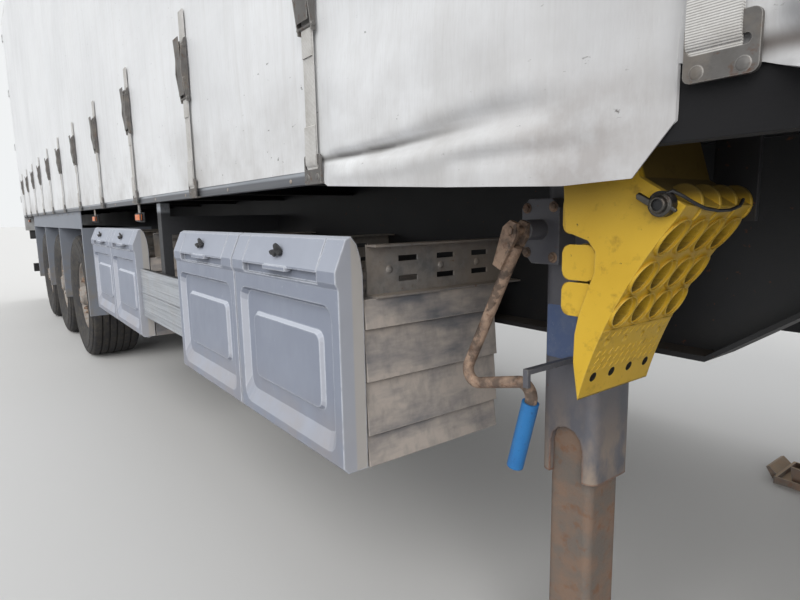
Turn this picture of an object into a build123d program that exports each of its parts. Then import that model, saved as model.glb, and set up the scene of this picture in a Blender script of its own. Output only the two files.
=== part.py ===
"""Curtain-sided semi trailer with three single-tyre axles, parked on its landing legs.

Millimetres, +X forward, +Y left, +Z up. The ground is z = 0 and the body is centred on x = 0.
Side pieces are drawn for a side of -1 (right) or +1 (left).
"""
import os
from math import cos, pi, sin

from build123d import *

# Body
body_length = 13600
body_width = 2550
body_height = 4000
front_x = body_length / 2
rear_x = -body_length / 2
side_y = body_width / 2

# Heights of the frame, with the coupler plate as the lowest face of the neck
deck_top_z = 1340
floor_t = 28
coupler_z = 1150
coupler_t = 8
beam_bottom_z = 860
frame_top_z = deck_top_z - floor_t
neck_bottom_z = coupler_z + coupler_t

# Main beams
beam_y = 650
beam_web_t = 12
flange_w = 140
flange_t = 12
neck_slope_length = 420
neck_behind_leg = 175
web_outer_y = beam_y + beam_web_t / 2
web_inner_y = beam_y - beam_web_t / 2
flange_outer_y = beam_y + flange_w / 2

# Kingpin, 2 inch
kingpin_setback = 1600
kingpin_x = front_x - kingpin_setback
kingpin_neck_r = 25.4
kingpin_upper_r = 36.5
kingpin_head_r = 35.7
kingpin_upper_l = 35
kingpin_neck_l = 36
kingpin_head_l = 13
coupler_behind = 620

# Landing legs, run down to the ground, each beside its beam
leg_setback = 2325
leg_x = kingpin_x - leg_setback
leg_tube = 135
leg_cap = 12
leg_corner = 24
leg_y = beam_y + 212.5
leg_inner_y = leg_y - leg_tube / 2
leg_outer_y = leg_y + leg_tube / 2
leg_bottom_z = 610
leg_bracket_t = 12
arch_half = 40
arch_h = 112
slide_tube = 105
slide_corner = 16
slide_play = 1
slide_top_z = 1080
foot_l = 390
foot_w = 230
foot_t = 10
foot_rim_h = 30
foot_cheek_t = 10
foot_pin_z = 78
foot_pin_r = 14
foot_boss_r = 27
shaft_z = 1090
shaft_r = 15
shaft_hole_r = 26

# Gearbox on the right leg, with the crank folded down beside it
gearbox_l = 92
gearbox_t = 52
gearbox_low_z = 1066
gearbox_h = 128
crank_y = leg_y + 187.5
crank_r = 12
crank_pin_dx = -36
crank_pin_z = 1134
crank_bend = 26
crank_grip_r = 17
crank_grip_l = 148

# Cross members and the rave along each side
cross_behind = 16
cross_ahead = 6
cross_depth = 88
outrigger_depth = 64
cross_end_gap = 30
cross_flange = 45
cross_t = 6
cross_before_leg = 22
cross_past_leg = 609
rave_h = 100
rave_depth = 62
rave_t = 6
rave_side_gap = 13
rave_bottom_z = deck_top_z - rave_h
rave_lip_z = deck_top_z + 4
rave_outer_y = side_y - rave_side_gap
rave_inner_y = rave_outer_y - rave_depth

# Front wall, rear frame and doors
front_wall_t = 34
corner_post = 90
front_corner_r = 30
front_wall_bottom_z = neck_bottom_z
rear_post_w = 92
rear_post_t = 100
sill_bottom_z = 1040
lintel_h = 118
door_t = 35
door_gap = 5
door_side_gap = 22
door_meeting_gap = 8
hinge_pin_r = 8
hinge_clearance = 0.05
hinge_height = 90
hinge_count = 4
hinge_behind = 20
hinge_from_end = 160
hinge_ear_t = 12
fitting_reach = 45
hinge_y = rave_outer_y
door_edge_y = hinge_y - door_side_gap
door_rear_x = rear_x
door_front_x = door_rear_x + door_t
frame_rear_x = door_front_x + door_gap
hinge_x = door_rear_x - hinge_behind
door_bottom_z = deck_top_z + 6
door_top_z = body_height - 24

# Coupling panel at the foot of the front wall
panel_t = 4
panel_w = 660
panel_h = 140
coupling_z = deck_top_z + 110
coupling_pitch = 120

# Roof, posts and curtains
roof_t = 14
rail_h = 110
rail_w = 70
bow_count = 10
bow_w = 40
bow_h = 30
bow_from_end = 400
side_post_count = 3
side_post_w = 110
side_post_t = 50
side_post_inset = 8
curtain_t = 8
curtain_gap = 0.3
curtain_end_gap = 4
curtain_bottom_z = rave_bottom_z + 28
curtain_top_z = body_height - 40
curtain_in_y = rave_outer_y + curtain_gap
curtain_out_y = curtain_in_y + curtain_t
post_out_y = rave_outer_y - side_post_inset

# Curtain straps with their over-centre buckles, counted from the one before the right leg
strap_before_leg = 419
strap_first_x = leg_x - strap_before_leg
strap_pitch = 850
strap_end_gap = 120
strap_w = 45
strap_t = 4
strap_gap = 0.3
strap_bottom_z = rave_bottom_z - 2
strap_raised = 52
hook_w = 80
hook_h = 70
hook_t = 7
buckle_rise = 310
buckle_h = 200
buckle_w = 62
buckle_t = 24
buckle_cheek_t = 5
strap_above_buckle = 85

# Axles and wheels
rear_overhang = 2230
axle_pitch = 1310
axle_count = 3
axle_xs = [rear_x + rear_overhang + axle_pitch * (axle_count - 1 - i) for i in range(axle_count)]
tyre_r = 525
tyre_w = 385
tyre_sides = 48
tyre_side_gap = 62.5
tyre_outer_y = side_y - tyre_side_gap
tyre_mid_y = tyre_outer_y - tyre_w / 2
axle_z = tyre_r
bead_r = 285.75
bead_gap = 0.3
rim_w = 299
rim_t = 14
disc_out = 120
disc_y = tyre_mid_y + disc_out
disc_t = 14
hand_hole_count = 10
hand_hole_r = 30
hand_hole_ring_r = 212
hub_r = 140
hub_l = 340
hub_inner_y = disc_y - hub_l
hub_cap_r = 78
hub_cap_l = 64
hub_cap_y = disc_y + hub_cap_l
spindle_r = 45
spindle_past_disc = 10
spindle_end_y = disc_y + spindle_past_disc
spindle_clearance = 0.05
axle_tube_r = 63.5
hub_gap = 20
axle_tube_y = hub_inner_y - hub_gap
chamber_r = 76
chamber_l = 118
chamber_in = 170

# Suspension
arm_w = 80
arm_pivot_ahead = 500
arm_pivot_z = 640
arm_tail = 400
arm_pin_r = 16
hanger_plate_t = 10
spring_r = 130
spring_behind = 330
spring_seat_z = 600

# Mudguard housing over the three wheels
guard_top_z = rave_bottom_z
guard_band_h = 132
guard_t = 6
guard_lip = 30
guard_front_reach = 760
guard_rear_reach = 680
guard_tyre_gap = 67.5
guard_inner_y = tyre_mid_y - tyre_w / 2 - guard_tyre_gap
guard_side_gap = 17
guard_outer_y = rave_outer_y - guard_side_gap
guard_skirt_z = 450

# Toolboxes in two pairs on the right, hung from channels across the frame
box_leg_gap = 355
box_axle_reach = 2500
box_front_xs = (leg_x - box_leg_gap, axle_xs[0] + box_axle_reach)
box_unit_w = 618
box_mid_gap = 8
cheek_t = 8
box_bottom_z = 575
box_top_z = 976
box_side_gap = 78
box_depth = 429
box_outer_y = rave_outer_y - box_side_gap
box_inner_y = box_outer_y - box_depth
box_wall = 8
box_course_step = 11
box_course_zs = (652, 783, 908)
box_gap = 5
box_door_side_gap = 7
box_door_face_y = rave_outer_y - box_door_side_gap
box_door_end_gap = 2
box_door_skin = 7
box_recess_t = 18
box_pad_t = 10
box_hinge_y = box_outer_y + 21
box_hinge_z = 563
box_pin_r = 5
box_pin_play = 0.05
box_lug_w = 30
box_knuckle_w = 14
box_hinge_from_middle = 200
channel_h = 124
channel_w = 45
channel_t = 5
channel_in = 34
channel_end_y = box_outer_y - channel_in
channel_end_gap = 12

# Side guards
plank_h = 118
plank_t = 25
plank_side_gap = 22
plank_outer_y = rave_outer_y - plank_side_gap
plank_end_gap = 12
right_plank_zs = (688, 808)
left_plank_zs = (575, 745, 925)
upright_count = 4
upright_w = 60
upright_t = 40
guard_arm_low_z = 1100
guard_arm_high_z = 1180

# Wheel chock, nose down on its holder
chock_past_leg = 170
chock_back_x = leg_x + chock_past_leg
chock_side_gap = 8
chock_outer_y = rave_inner_y - chock_side_gap
chock_width = 190
chock_inner_y = chock_outer_y - chock_width
chock_tip_z = 892
chock_cells_across = 4
chock_cell_pitch = chock_width / chock_cells_across
chock_cell_r = 20
chock_cell_sides = 16
chock_back_wall = 9
chock_rod_r = 9
chock_bracket_t = 8

# Air tanks
tank_z = 985
tank_end_gap = 84
tank_half = web_inner_y - tank_end_gap
tank_r = 123
tank_pitch = 760
tank_count = 2

# Rear lamps, side markers and underrun bar
bumper_z = 480
bumper_h = 120
bumper_t = 100
bumper_side_gap = 60
bumper_half_width = side_y - bumper_side_gap
carrier_h = 130
lamp_w = 420
lamp_h = 110
lamp_t = 30
marker_l = 110
marker_h = 46
marker_t = 24
marker_drop = 38

made = []


def block(x, y, z, mode=Mode.ADD):
    """A block between a low and a high value along each axis."""
    with Locations(((x[0] + x[1]) / 2, (y[0] + y[1]) / 2, (z[0] + z[1]) / 2)):
        Box(abs(x[1] - x[0]), abs(y[1] - y[0]), abs(z[1] - z[0]), mode=mode)


def side_plate(points, y0, y1, mode=Mode.ADD):
    """An outline of (x, z) points, as thick as the stretch from y0 to y1."""
    with BuildSketch(Plane.XZ.offset(-(y0 + y1) / 2)) as outline:
        Polygon(*points, align=None)
    extrude(outline.sketch, amount=abs(y1 - y0) / 2, both=True, mode=mode)


def cross_profile(points, x0, x1, mode=Mode.ADD):
    """An outline of (y, z) points, as long as the stretch from x0 to x1."""
    with BuildSketch(Plane.YZ.offset((x0 + x1) / 2)) as outline:
        Polygon(*points, align=None)
    extrude(outline.sketch, amount=abs(x1 - x0) / 2, both=True, mode=mode)


def rod_y(x, z, y0, y1, radius, mode=Mode.ADD):
    """A round bar along Y."""
    with Locations(Location((x, (y0 + y1) / 2, z), (90, 0, 0))):
        Cylinder(radius, abs(y1 - y0), mode=mode)


def rod_x(x0, x1, y, z, radius, mode=Mode.ADD):
    """A round bar along X."""
    with Locations(Location(((x0 + x1) / 2, y, z), (0, 90, 0))):
        Cylinder(radius, abs(x1 - x0), mode=mode)


def rod_z(x, y, z0, z1, radius, mode=Mode.ADD):
    """An upright round bar."""
    with Locations((x, y, (z0 + z1) / 2)):
        Cylinder(radius, abs(z1 - z0), mode=mode)


def place(shape, *spots):
    """A finished shape added at each (x, y, z) spot."""
    with Locations(*spots):
        add(shape)


def round_cornered(low, high, radius, steps=3):
    """The points of a rectangle from (a, b) to (a, b) with its corners cut in a few steps."""
    corners = (
        # centre of the corner, first angle
        (high[0] - radius, high[1] - radius, 0),
        (low[0] + radius, high[1] - radius, 90),
        (low[0] + radius, low[1] + radius, 180),
        (high[0] - radius, low[1] + radius, 270),
    )
    points = []
    for a, b, start in corners:
        for i in range(steps + 1):
            turn = (start + 90 * i / steps) * pi / 180
            points.append((a + radius * cos(turn), b + radius * sin(turn)))
    return points


def keep(shape, label):
    """Names a finished node and puts it on the list of files to write."""
    shape.label = label
    made.append(shape)


# Chassis beams: a deep stretch, a sloped stretch and a shallow neck, as one I section
neck_back_x = leg_x + neck_behind_leg
slope_front_x = neck_back_x + neck_slope_length
beam_front_x = front_x - front_wall_t
beam_rear_x = frame_rear_x + rear_post_t
lower_edge = [
    (beam_rear_x, beam_bottom_z),
    (neck_back_x, beam_bottom_z),
    (slope_front_x, neck_bottom_z),
    (beam_front_x, neck_bottom_z),
]
web_points = lower_edge + [(beam_front_x, frame_top_z), (beam_rear_x, frame_top_z)]
flange_points = lower_edge + [(x, z + flange_t) for x, z in reversed(lower_edge)]
with BuildPart() as beams:
    for side in (-1, 1):
        y = side * beam_y
        side_plate(web_points, y - beam_web_t / 2, y + beam_web_t / 2)
        side_plate(flange_points, y - flange_w / 2, y + flange_w / 2)
        block(
            (beam_rear_x, beam_front_x),
            (y - flange_w / 2, y + flange_w / 2),
            (frame_top_z - flange_t, frame_top_z),
        )
        rod_y(leg_x, shaft_z, y - beam_web_t, y + beam_web_t, shaft_hole_r, mode=Mode.SUBTRACT)
keep(beams.part, "chassis_beams")

# Cross members: a channel between the webs and one out to each rave, notched round the flanges
cross_rear_x = beam_rear_x + 60
cross_front_x = front_x - corner_post - cross_end_gap - cross_flange
before_leg_x = leg_x - cross_before_leg
past_leg_x = leg_x + cross_past_leg
rear_pitch = (before_leg_x - cross_rear_x) / (cross_behind - 1)
front_pitch = (cross_front_x - past_leg_x) / (cross_ahead - 1)
cross_xs = [cross_rear_x + i * rear_pitch for i in range(cross_behind)]
cross_xs += [past_leg_x + i * front_pitch for i in range(cross_ahead)]


def channel_outline(x, low_z, high_z, width, t):
    """The (x, z) outline of a channel open to the front."""
    return [
        (x, low_z),
        (x + width, low_z),
        (x + width, low_z + t),
        (x + t, low_z + t),
        (x + t, high_z - t),
        (x + width, high_z - t),
        (x + width, high_z),
        (x, high_z),
    ]


with BuildPart() as member:
    middle = channel_outline(0, frame_top_z - cross_depth, frame_top_z, cross_flange, cross_t)
    outer = channel_outline(0, frame_top_z - outrigger_depth, frame_top_z, cross_flange, cross_t)
    side_plate(middle, -web_inner_y, web_inner_y)
    side_plate(outer, web_outer_y, rave_outer_y - rave_t)
    side_plate(outer, -web_outer_y, -(rave_outer_y - rave_t))
    for side in (-1, 1):
        flange_y = (side * (beam_y - flange_w / 2), side * flange_outer_y)
        notch_z = (frame_top_z - flange_t, frame_top_z)
        block((-1, cross_flange + 1), flange_y, notch_z, mode=Mode.SUBTRACT)
with BuildPart() as cross:
    place(member.part, *[(x, 0, 0) for x in cross_xs])
keep(cross.part, "cross_members")

# Coupler plate with its kingpin
with BuildPart() as coupler:
    block(
        (kingpin_x - coupler_behind, beam_front_x),
        (-flange_outer_y, flange_outer_y),
        (coupler_z, neck_bottom_z),
    )
    z = coupler_z
    for radius, length in (
        (kingpin_upper_r, kingpin_upper_l),
        (kingpin_neck_r, kingpin_neck_l),
        (kingpin_head_r, kingpin_head_l),
    ):
        rod_z(kingpin_x, 0, z - length, z, radius)
        z -= length
keep(coupler.part, "coupler_plate")

# Floor
floor_rear_x = frame_rear_x + rear_post_t
floor_front_x = front_x - corner_post
with BuildPart() as floor:
    block(
        (floor_rear_x, floor_front_x),
        (-rave_inner_y, rave_inner_y),
        (frame_top_z, deck_top_z),
    )
    block(
        (floor_front_x, beam_front_x),
        (-(side_y - corner_post), side_y - corner_post),
        (frame_top_z, deck_top_z),
    )
keep(floor.part, "floor_deck")

# Side raves: a channel open inward, with a lip along its foot
with BuildPart() as raves:
    for side in (-1, 1):
        inner = side * rave_inner_y
        outer = side * rave_outer_y
        web = side * (rave_outer_y - rave_t)
        lip = side * (rave_outer_y - 26)
        cross_profile(
            [
                (inner, rave_lip_z),
                (outer, rave_lip_z),
                (outer, rave_bottom_z),
                (lip, rave_bottom_z),
                (lip, rave_bottom_z + rave_t),
                (web, rave_bottom_z + rave_t),
                (web, rave_lip_z - rave_t / 2),
                (inner, rave_lip_z - rave_t / 2),
            ],
            floor_rear_x,
            floor_front_x,
        )
keep(raves.part, "side_raves")

# Front wall with its corner posts
wall_in_x = front_x - front_wall_t
post_back_x = front_x - corner_post
with BuildPart() as front_wall:
    block((wall_in_x, front_x), (-side_y, side_y), (front_wall_bottom_z, body_height))
    for side in (-1, 1):
        block(
            (post_back_x, wall_in_x),
            (side * (side_y - corner_post), side * side_y),
            (front_wall_bottom_z, body_height),
        )
    upright = [
        e for e in front_wall.edges().filter_by(Axis.Z)
        if e.center().X > front_x - 1 and e.length > body_height / 2
    ]
    fillet(upright, radius=front_corner_r)
keep(front_wall.part, "front_wall")

# Front coupling panel: two air couplings outermost and three sockets on a plate
with BuildPart() as couplings:
    block(
        (front_x, front_x + panel_t),
        (-panel_w / 2, panel_w / 2),
        (coupling_z - panel_h / 2, coupling_z + panel_h / 2),
    )
    for place_along, radius in ((-2, 28), (-1, 24), (0, 24), (1, 24), (2, 28)):
        rod_x(front_x + panel_t, front_x + fitting_reach, place_along * coupling_pitch, coupling_z, radius)
keep(couplings.part, "front_couplings")

# Rear frame
hinge_first_z = door_bottom_z + hinge_from_end
hinge_pitch = (door_top_z - door_bottom_z - 2 * hinge_from_end) / (hinge_count - 1)
hinge_zs = [hinge_first_z + i * hinge_pitch for i in range(hinge_count)]
with BuildPart() as rear_frame:
    post_x = (frame_rear_x, floor_rear_x)
    for side in (-1, 1):
        post_y = (side * (rave_outer_y - rear_post_w), side * rave_outer_y)
        block(post_x, post_y, (sill_bottom_z, body_height - roof_t))
    across = (-rave_outer_y + rear_post_w, rave_outer_y - rear_post_w)
    block(post_x, across, (body_height - roof_t - lintel_h, body_height - roof_t))
    block(post_x, across, (sill_bottom_z, deck_top_z))
    for side in (-1, 1):
        for z in hinge_zs:
            for end in (-1, 1):
                ear_z = (z + end * hinge_height / 2, z + end * (hinge_height / 2 - hinge_ear_t))
                block(
                    (hinge_x - 16, frame_rear_x),
                    (side * (hinge_y - 14), side * (hinge_y + 12)),
                    ear_z,
                )
            rod_z(hinge_x, side * hinge_y, z - hinge_height / 2, z + hinge_height / 2, hinge_pin_r)
            block(
                (frame_rear_x, frame_rear_x + 60),
                (side * rave_outer_y, side * (rave_outer_y + 6)),
                (z - hinge_height / 2, z + hinge_height / 2),
            )
keep(rear_frame.part, "rear_frame")

# Roof frame: a rail along each side with bows between, and the sheet on it
rail_low_z = body_height - roof_t - rail_h
bow_first_x = floor_rear_x + bow_from_end
bow_pitch = (floor_front_x - bow_from_end - bow_first_x) / (bow_count - 1)
with BuildPart() as roof_frame:
    for side in (-1, 1):
        block(
            (floor_rear_x, post_back_x),
            (side * (rave_outer_y - rail_w), side * rave_outer_y),
            (rail_low_z, body_height - roof_t),
        )
    for i in range(bow_count):
        x = bow_first_x + i * bow_pitch
        block(
            (x - bow_w / 2, x + bow_w / 2),
            (-(rave_outer_y - rail_w), rave_outer_y - rail_w),
            (body_height - roof_t - bow_h, body_height - roof_t),
        )
keep(roof_frame.part, "roof_frame")

with BuildPart() as roof:
    block(
        (frame_rear_x, wall_in_x),
        (-(side_y - corner_post), side_y - corner_post),
        (body_height - roof_t, body_height),
    )
    for side in (-1, 1):
        block(
            (frame_rear_x, post_back_x),
            (side * (side_y - corner_post), side * rave_outer_y),
            (body_height - roof_t, body_height),
        )
keep(roof.part, "roof_sheet")

# Side posts, evenly spaced between the rear frame and the front wall
side_post_pitch = body_length / (side_post_count + 1)
side_post_xs = [rear_x + (i + 1) * side_post_pitch for i in range(side_post_count)]
with BuildPart() as posts:
    for side in (-1, 1):
        for x in side_post_xs:
            block(
                (x - side_post_w / 2, x + side_post_w / 2),
                (side * (post_out_y - side_post_t), side * post_out_y),
                (rave_lip_z, rail_low_z),
            )
keep(posts.part, "side_posts")

# Curtains: the right one has a loose corner hanging past the landing leg
curtain_rear_x = floor_rear_x + curtain_end_gap
curtain_front_x = post_back_x - curtain_end_gap
loose_corner = (
    # from the leg along X, from the hem up
    (-475, 0),
    (-365, -37),
    (25, -59),
    (235, -68),
    (332, -64),
    (381, -5),
    (381, 16),
)
for side, name in ((-1, "right"), (1, "left")):
    hem = [(curtain_rear_x, curtain_bottom_z)]
    hem_front_z = curtain_bottom_z
    if side == -1:
        hem += [(leg_x + dx, curtain_bottom_z + dz) for dx, dz in loose_corner]
        hem_front_z = hem[-1][1]
    hem += [(curtain_front_x, hem_front_z)]
    with BuildPart() as curtain:
        side_plate(
            hem + [(curtain_front_x, curtain_top_z), (curtain_rear_x, curtain_top_z)],
            side * curtain_in_y,
            side * curtain_out_y,
        )
    keep(curtain.part, "curtain_" + name)

# Straps: a hook plate over the rave's foot, webbing and an over-centre buckle between two cheeks
strap_back_count = int((strap_first_x - curtain_rear_x - strap_end_gap) // strap_pitch)
strap_front_count = int((curtain_front_x - strap_end_gap - strap_first_x) // strap_pitch)


def strap_shape(bottom_z):
    """One right-hand strap, with its back on the plane y = 0."""
    buckle_low_z = strap_bottom_z + buckle_rise
    buckle_high_z = buckle_low_z + buckle_h
    with BuildPart() as strap:
        block((-strap_w / 2, strap_w / 2), (-strap_t, 0), (bottom_z, buckle_high_z + strap_above_buckle))
        block((-hook_w / 2, hook_w / 2), (-hook_t, 0), (bottom_z, bottom_z + hook_h))
        block(
            (-strap_w / 2 - 3, strap_w / 2 + 3),
            (-hook_t - 1, -strap_t),
            (bottom_z + hook_h - 18, bottom_z + hook_h - 8),
            mode=Mode.SUBTRACT,
        )
        lever = [
            # out from the curtain, up
            (-strap_t + 1, buckle_low_z + 18),
            (-buckle_t * 0.55, buckle_low_z + 6),
            (-buckle_t * 0.75, buckle_low_z + buckle_h * 0.7),
            (-buckle_t - 4, buckle_high_z - 22),
            (-buckle_t, buckle_high_z - 6),
            (-strap_t + 1, buckle_high_z - 40),
        ]
        half = buckle_w / 2
        cross_profile(lever, -half + buckle_cheek_t, half - buckle_cheek_t)
        cheek = [
            (0, buckle_low_z),
            (-buckle_t * 0.5, buckle_low_z),
            (-buckle_t, buckle_low_z + buckle_h * 0.45),
            (-buckle_t * 0.8, buckle_high_z - 30),
            (0, buckle_high_z),
        ]
        cross_profile(cheek, -half, -half + buckle_cheek_t)
        cross_profile(cheek, half - buckle_cheek_t, half)
    return strap.part


strap_xs = [
    strap_first_x + k * strap_pitch for k in range(-strap_back_count, strap_front_count + 1)
]
raised_x = strap_xs[strap_back_count + 1]
low_strap = strap_shape(strap_bottom_z)
high_strap = strap_shape(strap_bottom_z + strap_raised)
left_strap = mirror(low_strap, about=Plane.XZ)
strap_base_y = curtain_out_y + strap_gap
with BuildPart() as straps:
    place(low_strap, *[(x, -strap_base_y, 0) for x in strap_xs if x != raised_x])
    place(high_strap, (raised_x, -strap_base_y, 0))
    place(left_strap, *[(x, strap_base_y, 0) for x in strap_xs])
keep(straps.part, "curtain_straps")

# Rear doors with their hinge leaves, and the lock rods with their handles
rod_r = 14
rods_and_handles = (
    # rod from the hinge, which way its handle points: 1 to the hinge, -1 away from it
    (330, -1),
    (1120, 1),
)
handle_l = 330
handle_z = door_bottom_z + 330
for side, name in ((-1, "right"), (1, "left")):
    with BuildPart() as door:
        block(
            (door_rear_x, door_front_x),
            (side * door_meeting_gap / 2, side * door_edge_y),
            (door_bottom_z, door_top_z),
        )
        leaf_h = hinge_height - 2 * hinge_ear_t - 4
        for z in hinge_zs:
            leaf_z = (z - leaf_h / 2, z + leaf_h / 2)
            block(
                (hinge_x + 8, door_rear_x + 2),
                (side * (door_edge_y - 90), side * hinge_y),
                leaf_z,
            )
            rod_z(hinge_x, side * hinge_y, leaf_z[0], leaf_z[1], 14)
            rod_z(
                hinge_x, side * hinge_y, leaf_z[0], leaf_z[1],
                hinge_pin_r + hinge_clearance, mode=Mode.SUBTRACT,
            )
    keep(door.part, "rear_door_" + name)
    with BuildPart() as rods:
        rod_axis_x = door_rear_x - rod_r - 6
        for reach, turned in rods_and_handles:
            y = side * (door_edge_y - reach)
            pointing = side * turned
            rod_z(rod_axis_x, y, door_bottom_z + 10, door_top_z - 10, rod_r)
            for z in (door_bottom_z + 60, door_bottom_z + 700, door_top_z - 700, door_top_z - 60):
                block((door_rear_x - fitting_reach, door_rear_x), (y - 32, y + 32), (z - 30, z + 30))
            block(
                (door_rear_x - fitting_reach + 3, rod_axis_x),
                (y, y + pointing * handle_l),
                (handle_z - 14, handle_z + 14),
            )
            catch_y = y + pointing * (handle_l - 40)
            block(
                (door_rear_x - fitting_reach + 1, door_rear_x),
                (catch_y - 20, catch_y + 20),
                (handle_z - 26, handle_z + 26),
            )
    keep(rods.part, "lock_rods_" + name)

# Underrun bar on two brackets under the beams
with BuildPart() as underrun:
    bar_rear_x = rear_x + 90
    block(
        (bar_rear_x, bar_rear_x + bumper_t),
        (-bumper_half_width, bumper_half_width),
        (bumper_z - bumper_h / 2, bumper_z + bumper_h / 2),
    )
    for side in (-1, 1):
        side_plate(
            [
                (bar_rear_x + bumper_t, bumper_z - 50),
                (bar_rear_x + bumper_t + 60, bumper_z - 50),
                (beam_rear_x + 420, beam_bottom_z),
                (beam_rear_x + 20, beam_bottom_z),
                (bar_rear_x + bumper_t, bumper_z + bumper_h / 2 + 40),
            ],
            side * (beam_y - 35),
            side * (beam_y + 35),
        )
keep(underrun.part, "underrun_bar")

# Rear lamps on a carrier under the sill
with BuildPart() as lamps:
    carrier_x = frame_rear_x + 10
    lamp_z = sill_bottom_z - carrier_h / 2
    block(
        (carrier_x, carrier_x + 40),
        (-bumper_half_width, bumper_half_width),
        (sill_bottom_z - carrier_h, sill_bottom_z),
    )
    for side in (-1, 1):
        y = side * (bumper_half_width - lamp_w / 2 - 10)
        block(
            (carrier_x - lamp_t, carrier_x),
            (y - lamp_w / 2, y + lamp_w / 2),
            (lamp_z - lamp_h / 2, lamp_z + lamp_h / 2),
        )
keep(lamps.part, "rear_lamps")

# Landing legs: outer tube with an arched opening at its foot, slide, foot, cross shaft
leg_top_z = frame_top_z - outrigger_depth - 10
arch = [
    # from the leg's axis, up from the tube's lower end
    (arch_half, -1),
    (arch_half, arch_h * 0.62),
    (arch_half * 0.85, arch_h * 0.82),
    (arch_half * 0.5, arch_h * 0.95),
    (0, arch_h),
    (-arch_half * 0.5, arch_h * 0.95),
    (-arch_half * 0.85, arch_h * 0.82),
    (-arch_half, arch_h * 0.62),
    (-arch_half, -1),
]
gearbox_x = leg_x + crank_pin_dx
gearbox = [
    (gearbox_x - gearbox_l / 2, gearbox_low_z + 26),
    (gearbox_x - gearbox_l / 2 + 26, gearbox_low_z),
    (gearbox_x + gearbox_l / 2, gearbox_low_z),
    (gearbox_x + gearbox_l / 2, gearbox_low_z + gearbox_h - 18),
    (gearbox_x + gearbox_l / 2 - 18, gearbox_low_z + gearbox_h),
    (gearbox_x - gearbox_l / 2 + 18, gearbox_low_z + gearbox_h),
    (gearbox_x - gearbox_l / 2, gearbox_low_z + gearbox_h - 18),
]
hook_z = 866
with BuildPart() as legs:
    for side in (-1, 1):
        with BuildSketch(Plane.XY.offset(leg_bottom_z)):
            with Locations((leg_x, side * leg_y)):
                RectangleRounded(leg_tube, leg_tube, leg_corner)
        extrude(amount=leg_top_z - leg_bottom_z)
        with BuildSketch(Plane.XY.offset(leg_bottom_z)):
            with Locations((leg_x, side * leg_y)):
                RectangleRounded(slide_tube + slide_play, slide_tube + slide_play, slide_corner)
        extrude(amount=leg_top_z - leg_cap - leg_bottom_z, mode=Mode.SUBTRACT)
        opening = [(leg_x + dx, leg_bottom_z + dz) for dx, dz in arch]
        side_plate(opening, side * (leg_inner_y - 1), side * (leg_outer_y + 1), mode=Mode.SUBTRACT)
        for x in (leg_x - 42, leg_x + 30):
            block(
                (x, x + leg_bracket_t),
                (side * web_outer_y, side * leg_inner_y),
                (beam_bottom_z + flange_t, leg_top_z - 20),
            )
    side_plate(gearbox, -leg_outer_y - gearbox_t, -leg_outer_y)
    rod_y(gearbox_x, crank_pin_z, -crank_y + 20, -leg_outer_y - gearbox_t, 20)
    block((leg_x + 8, leg_x + 20), (-crank_y - 20, -leg_outer_y), (hook_z, hook_z + 10))
    block((leg_x + 8, leg_x + 20), (-crank_y - 28, -crank_y - 20), (hook_z - 26, hook_z + 10))
keep(legs.part, "landing_legs")

with BuildPart() as slides:
    for side in (-1, 1):
        with BuildSketch(Plane.XY.offset(foot_pin_z - 20)):
            with Locations((leg_x, side * leg_y)):
                RectangleRounded(slide_tube, slide_tube, slide_corner)
        extrude(amount=slide_top_z - foot_pin_z + 20)
keep(slides.part, "leg_slides")

# Foot: a pan with a rim and a turned-up tail, under a cradle that swings on the slide's pin
pan = [
    # along X from the leg, across
    (-foot_l * 0.42, -foot_w / 2),
    (foot_l * 0.25, -foot_w / 2),
    (foot_l * 0.38, -foot_w * 0.42),
    (foot_l * 0.46, -foot_w * 0.26),
    (foot_l * 0.5, 0),
    (foot_l * 0.46, foot_w * 0.26),
    (foot_l * 0.38, foot_w * 0.42),
    (foot_l * 0.25, foot_w / 2),
    (-foot_l * 0.42, foot_w / 2),
]
rim_share = 0.93
cradle_half = slide_tube / 2 + foot_cheek_t
cradle = [
    # along X from the leg, height
    (-112, foot_t),
    (112, foot_t),
    (120, 58),
    (66, 60),
    (34, foot_pin_z + 30),
    (-34, foot_pin_z + 30),
    (-66, 66),
    (-122, 72),
]
with BuildPart() as foot:
    with BuildSketch(Plane.XY) as plan:
        Polygon(*pan, align=None)
    extrude(plan.sketch, amount=foot_rim_h)
    with BuildSketch(Plane.XY.offset(foot_t)) as hollow:
        Polygon(*[(a * rim_share, b * rim_share) for a, b in pan], align=None)
    extrude(hollow.sketch, amount=foot_rim_h, mode=Mode.SUBTRACT)
    side_plate(
        [
            (-foot_l * 0.42, 0),
            (-foot_l * 0.42, foot_rim_h),
            (-foot_l * 0.5, foot_rim_h + 26),
            (-foot_l * 0.53, foot_rim_h + 20),
            (-foot_l * 0.46, 6),
        ],
        -foot_w * 0.36,
        foot_w * 0.36,
    )
    for end in (-1, 1):
        side_plate(cradle, end * (cradle_half - foot_cheek_t), end * cradle_half)
        rod_y(0, foot_pin_z, end * cradle_half, end * (cradle_half + 12), foot_boss_r)
        rod_y(0, foot_pin_z, end * cradle_half, end * (cradle_half + 18), foot_pin_r)
        block((end * 86, end * 96), (-cradle_half, cradle_half), (foot_t, 56))
with BuildPart() as feet:
    place(foot.part, (leg_x, -leg_y, 0), (leg_x, leg_y, 0))
keep(feet.part, "landing_feet")

with BuildPart() as shaft:
    rod_y(leg_x, shaft_z, -leg_inner_y, leg_inner_y, shaft_r)
keep(shaft.part, "leg_cross_shaft")

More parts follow.
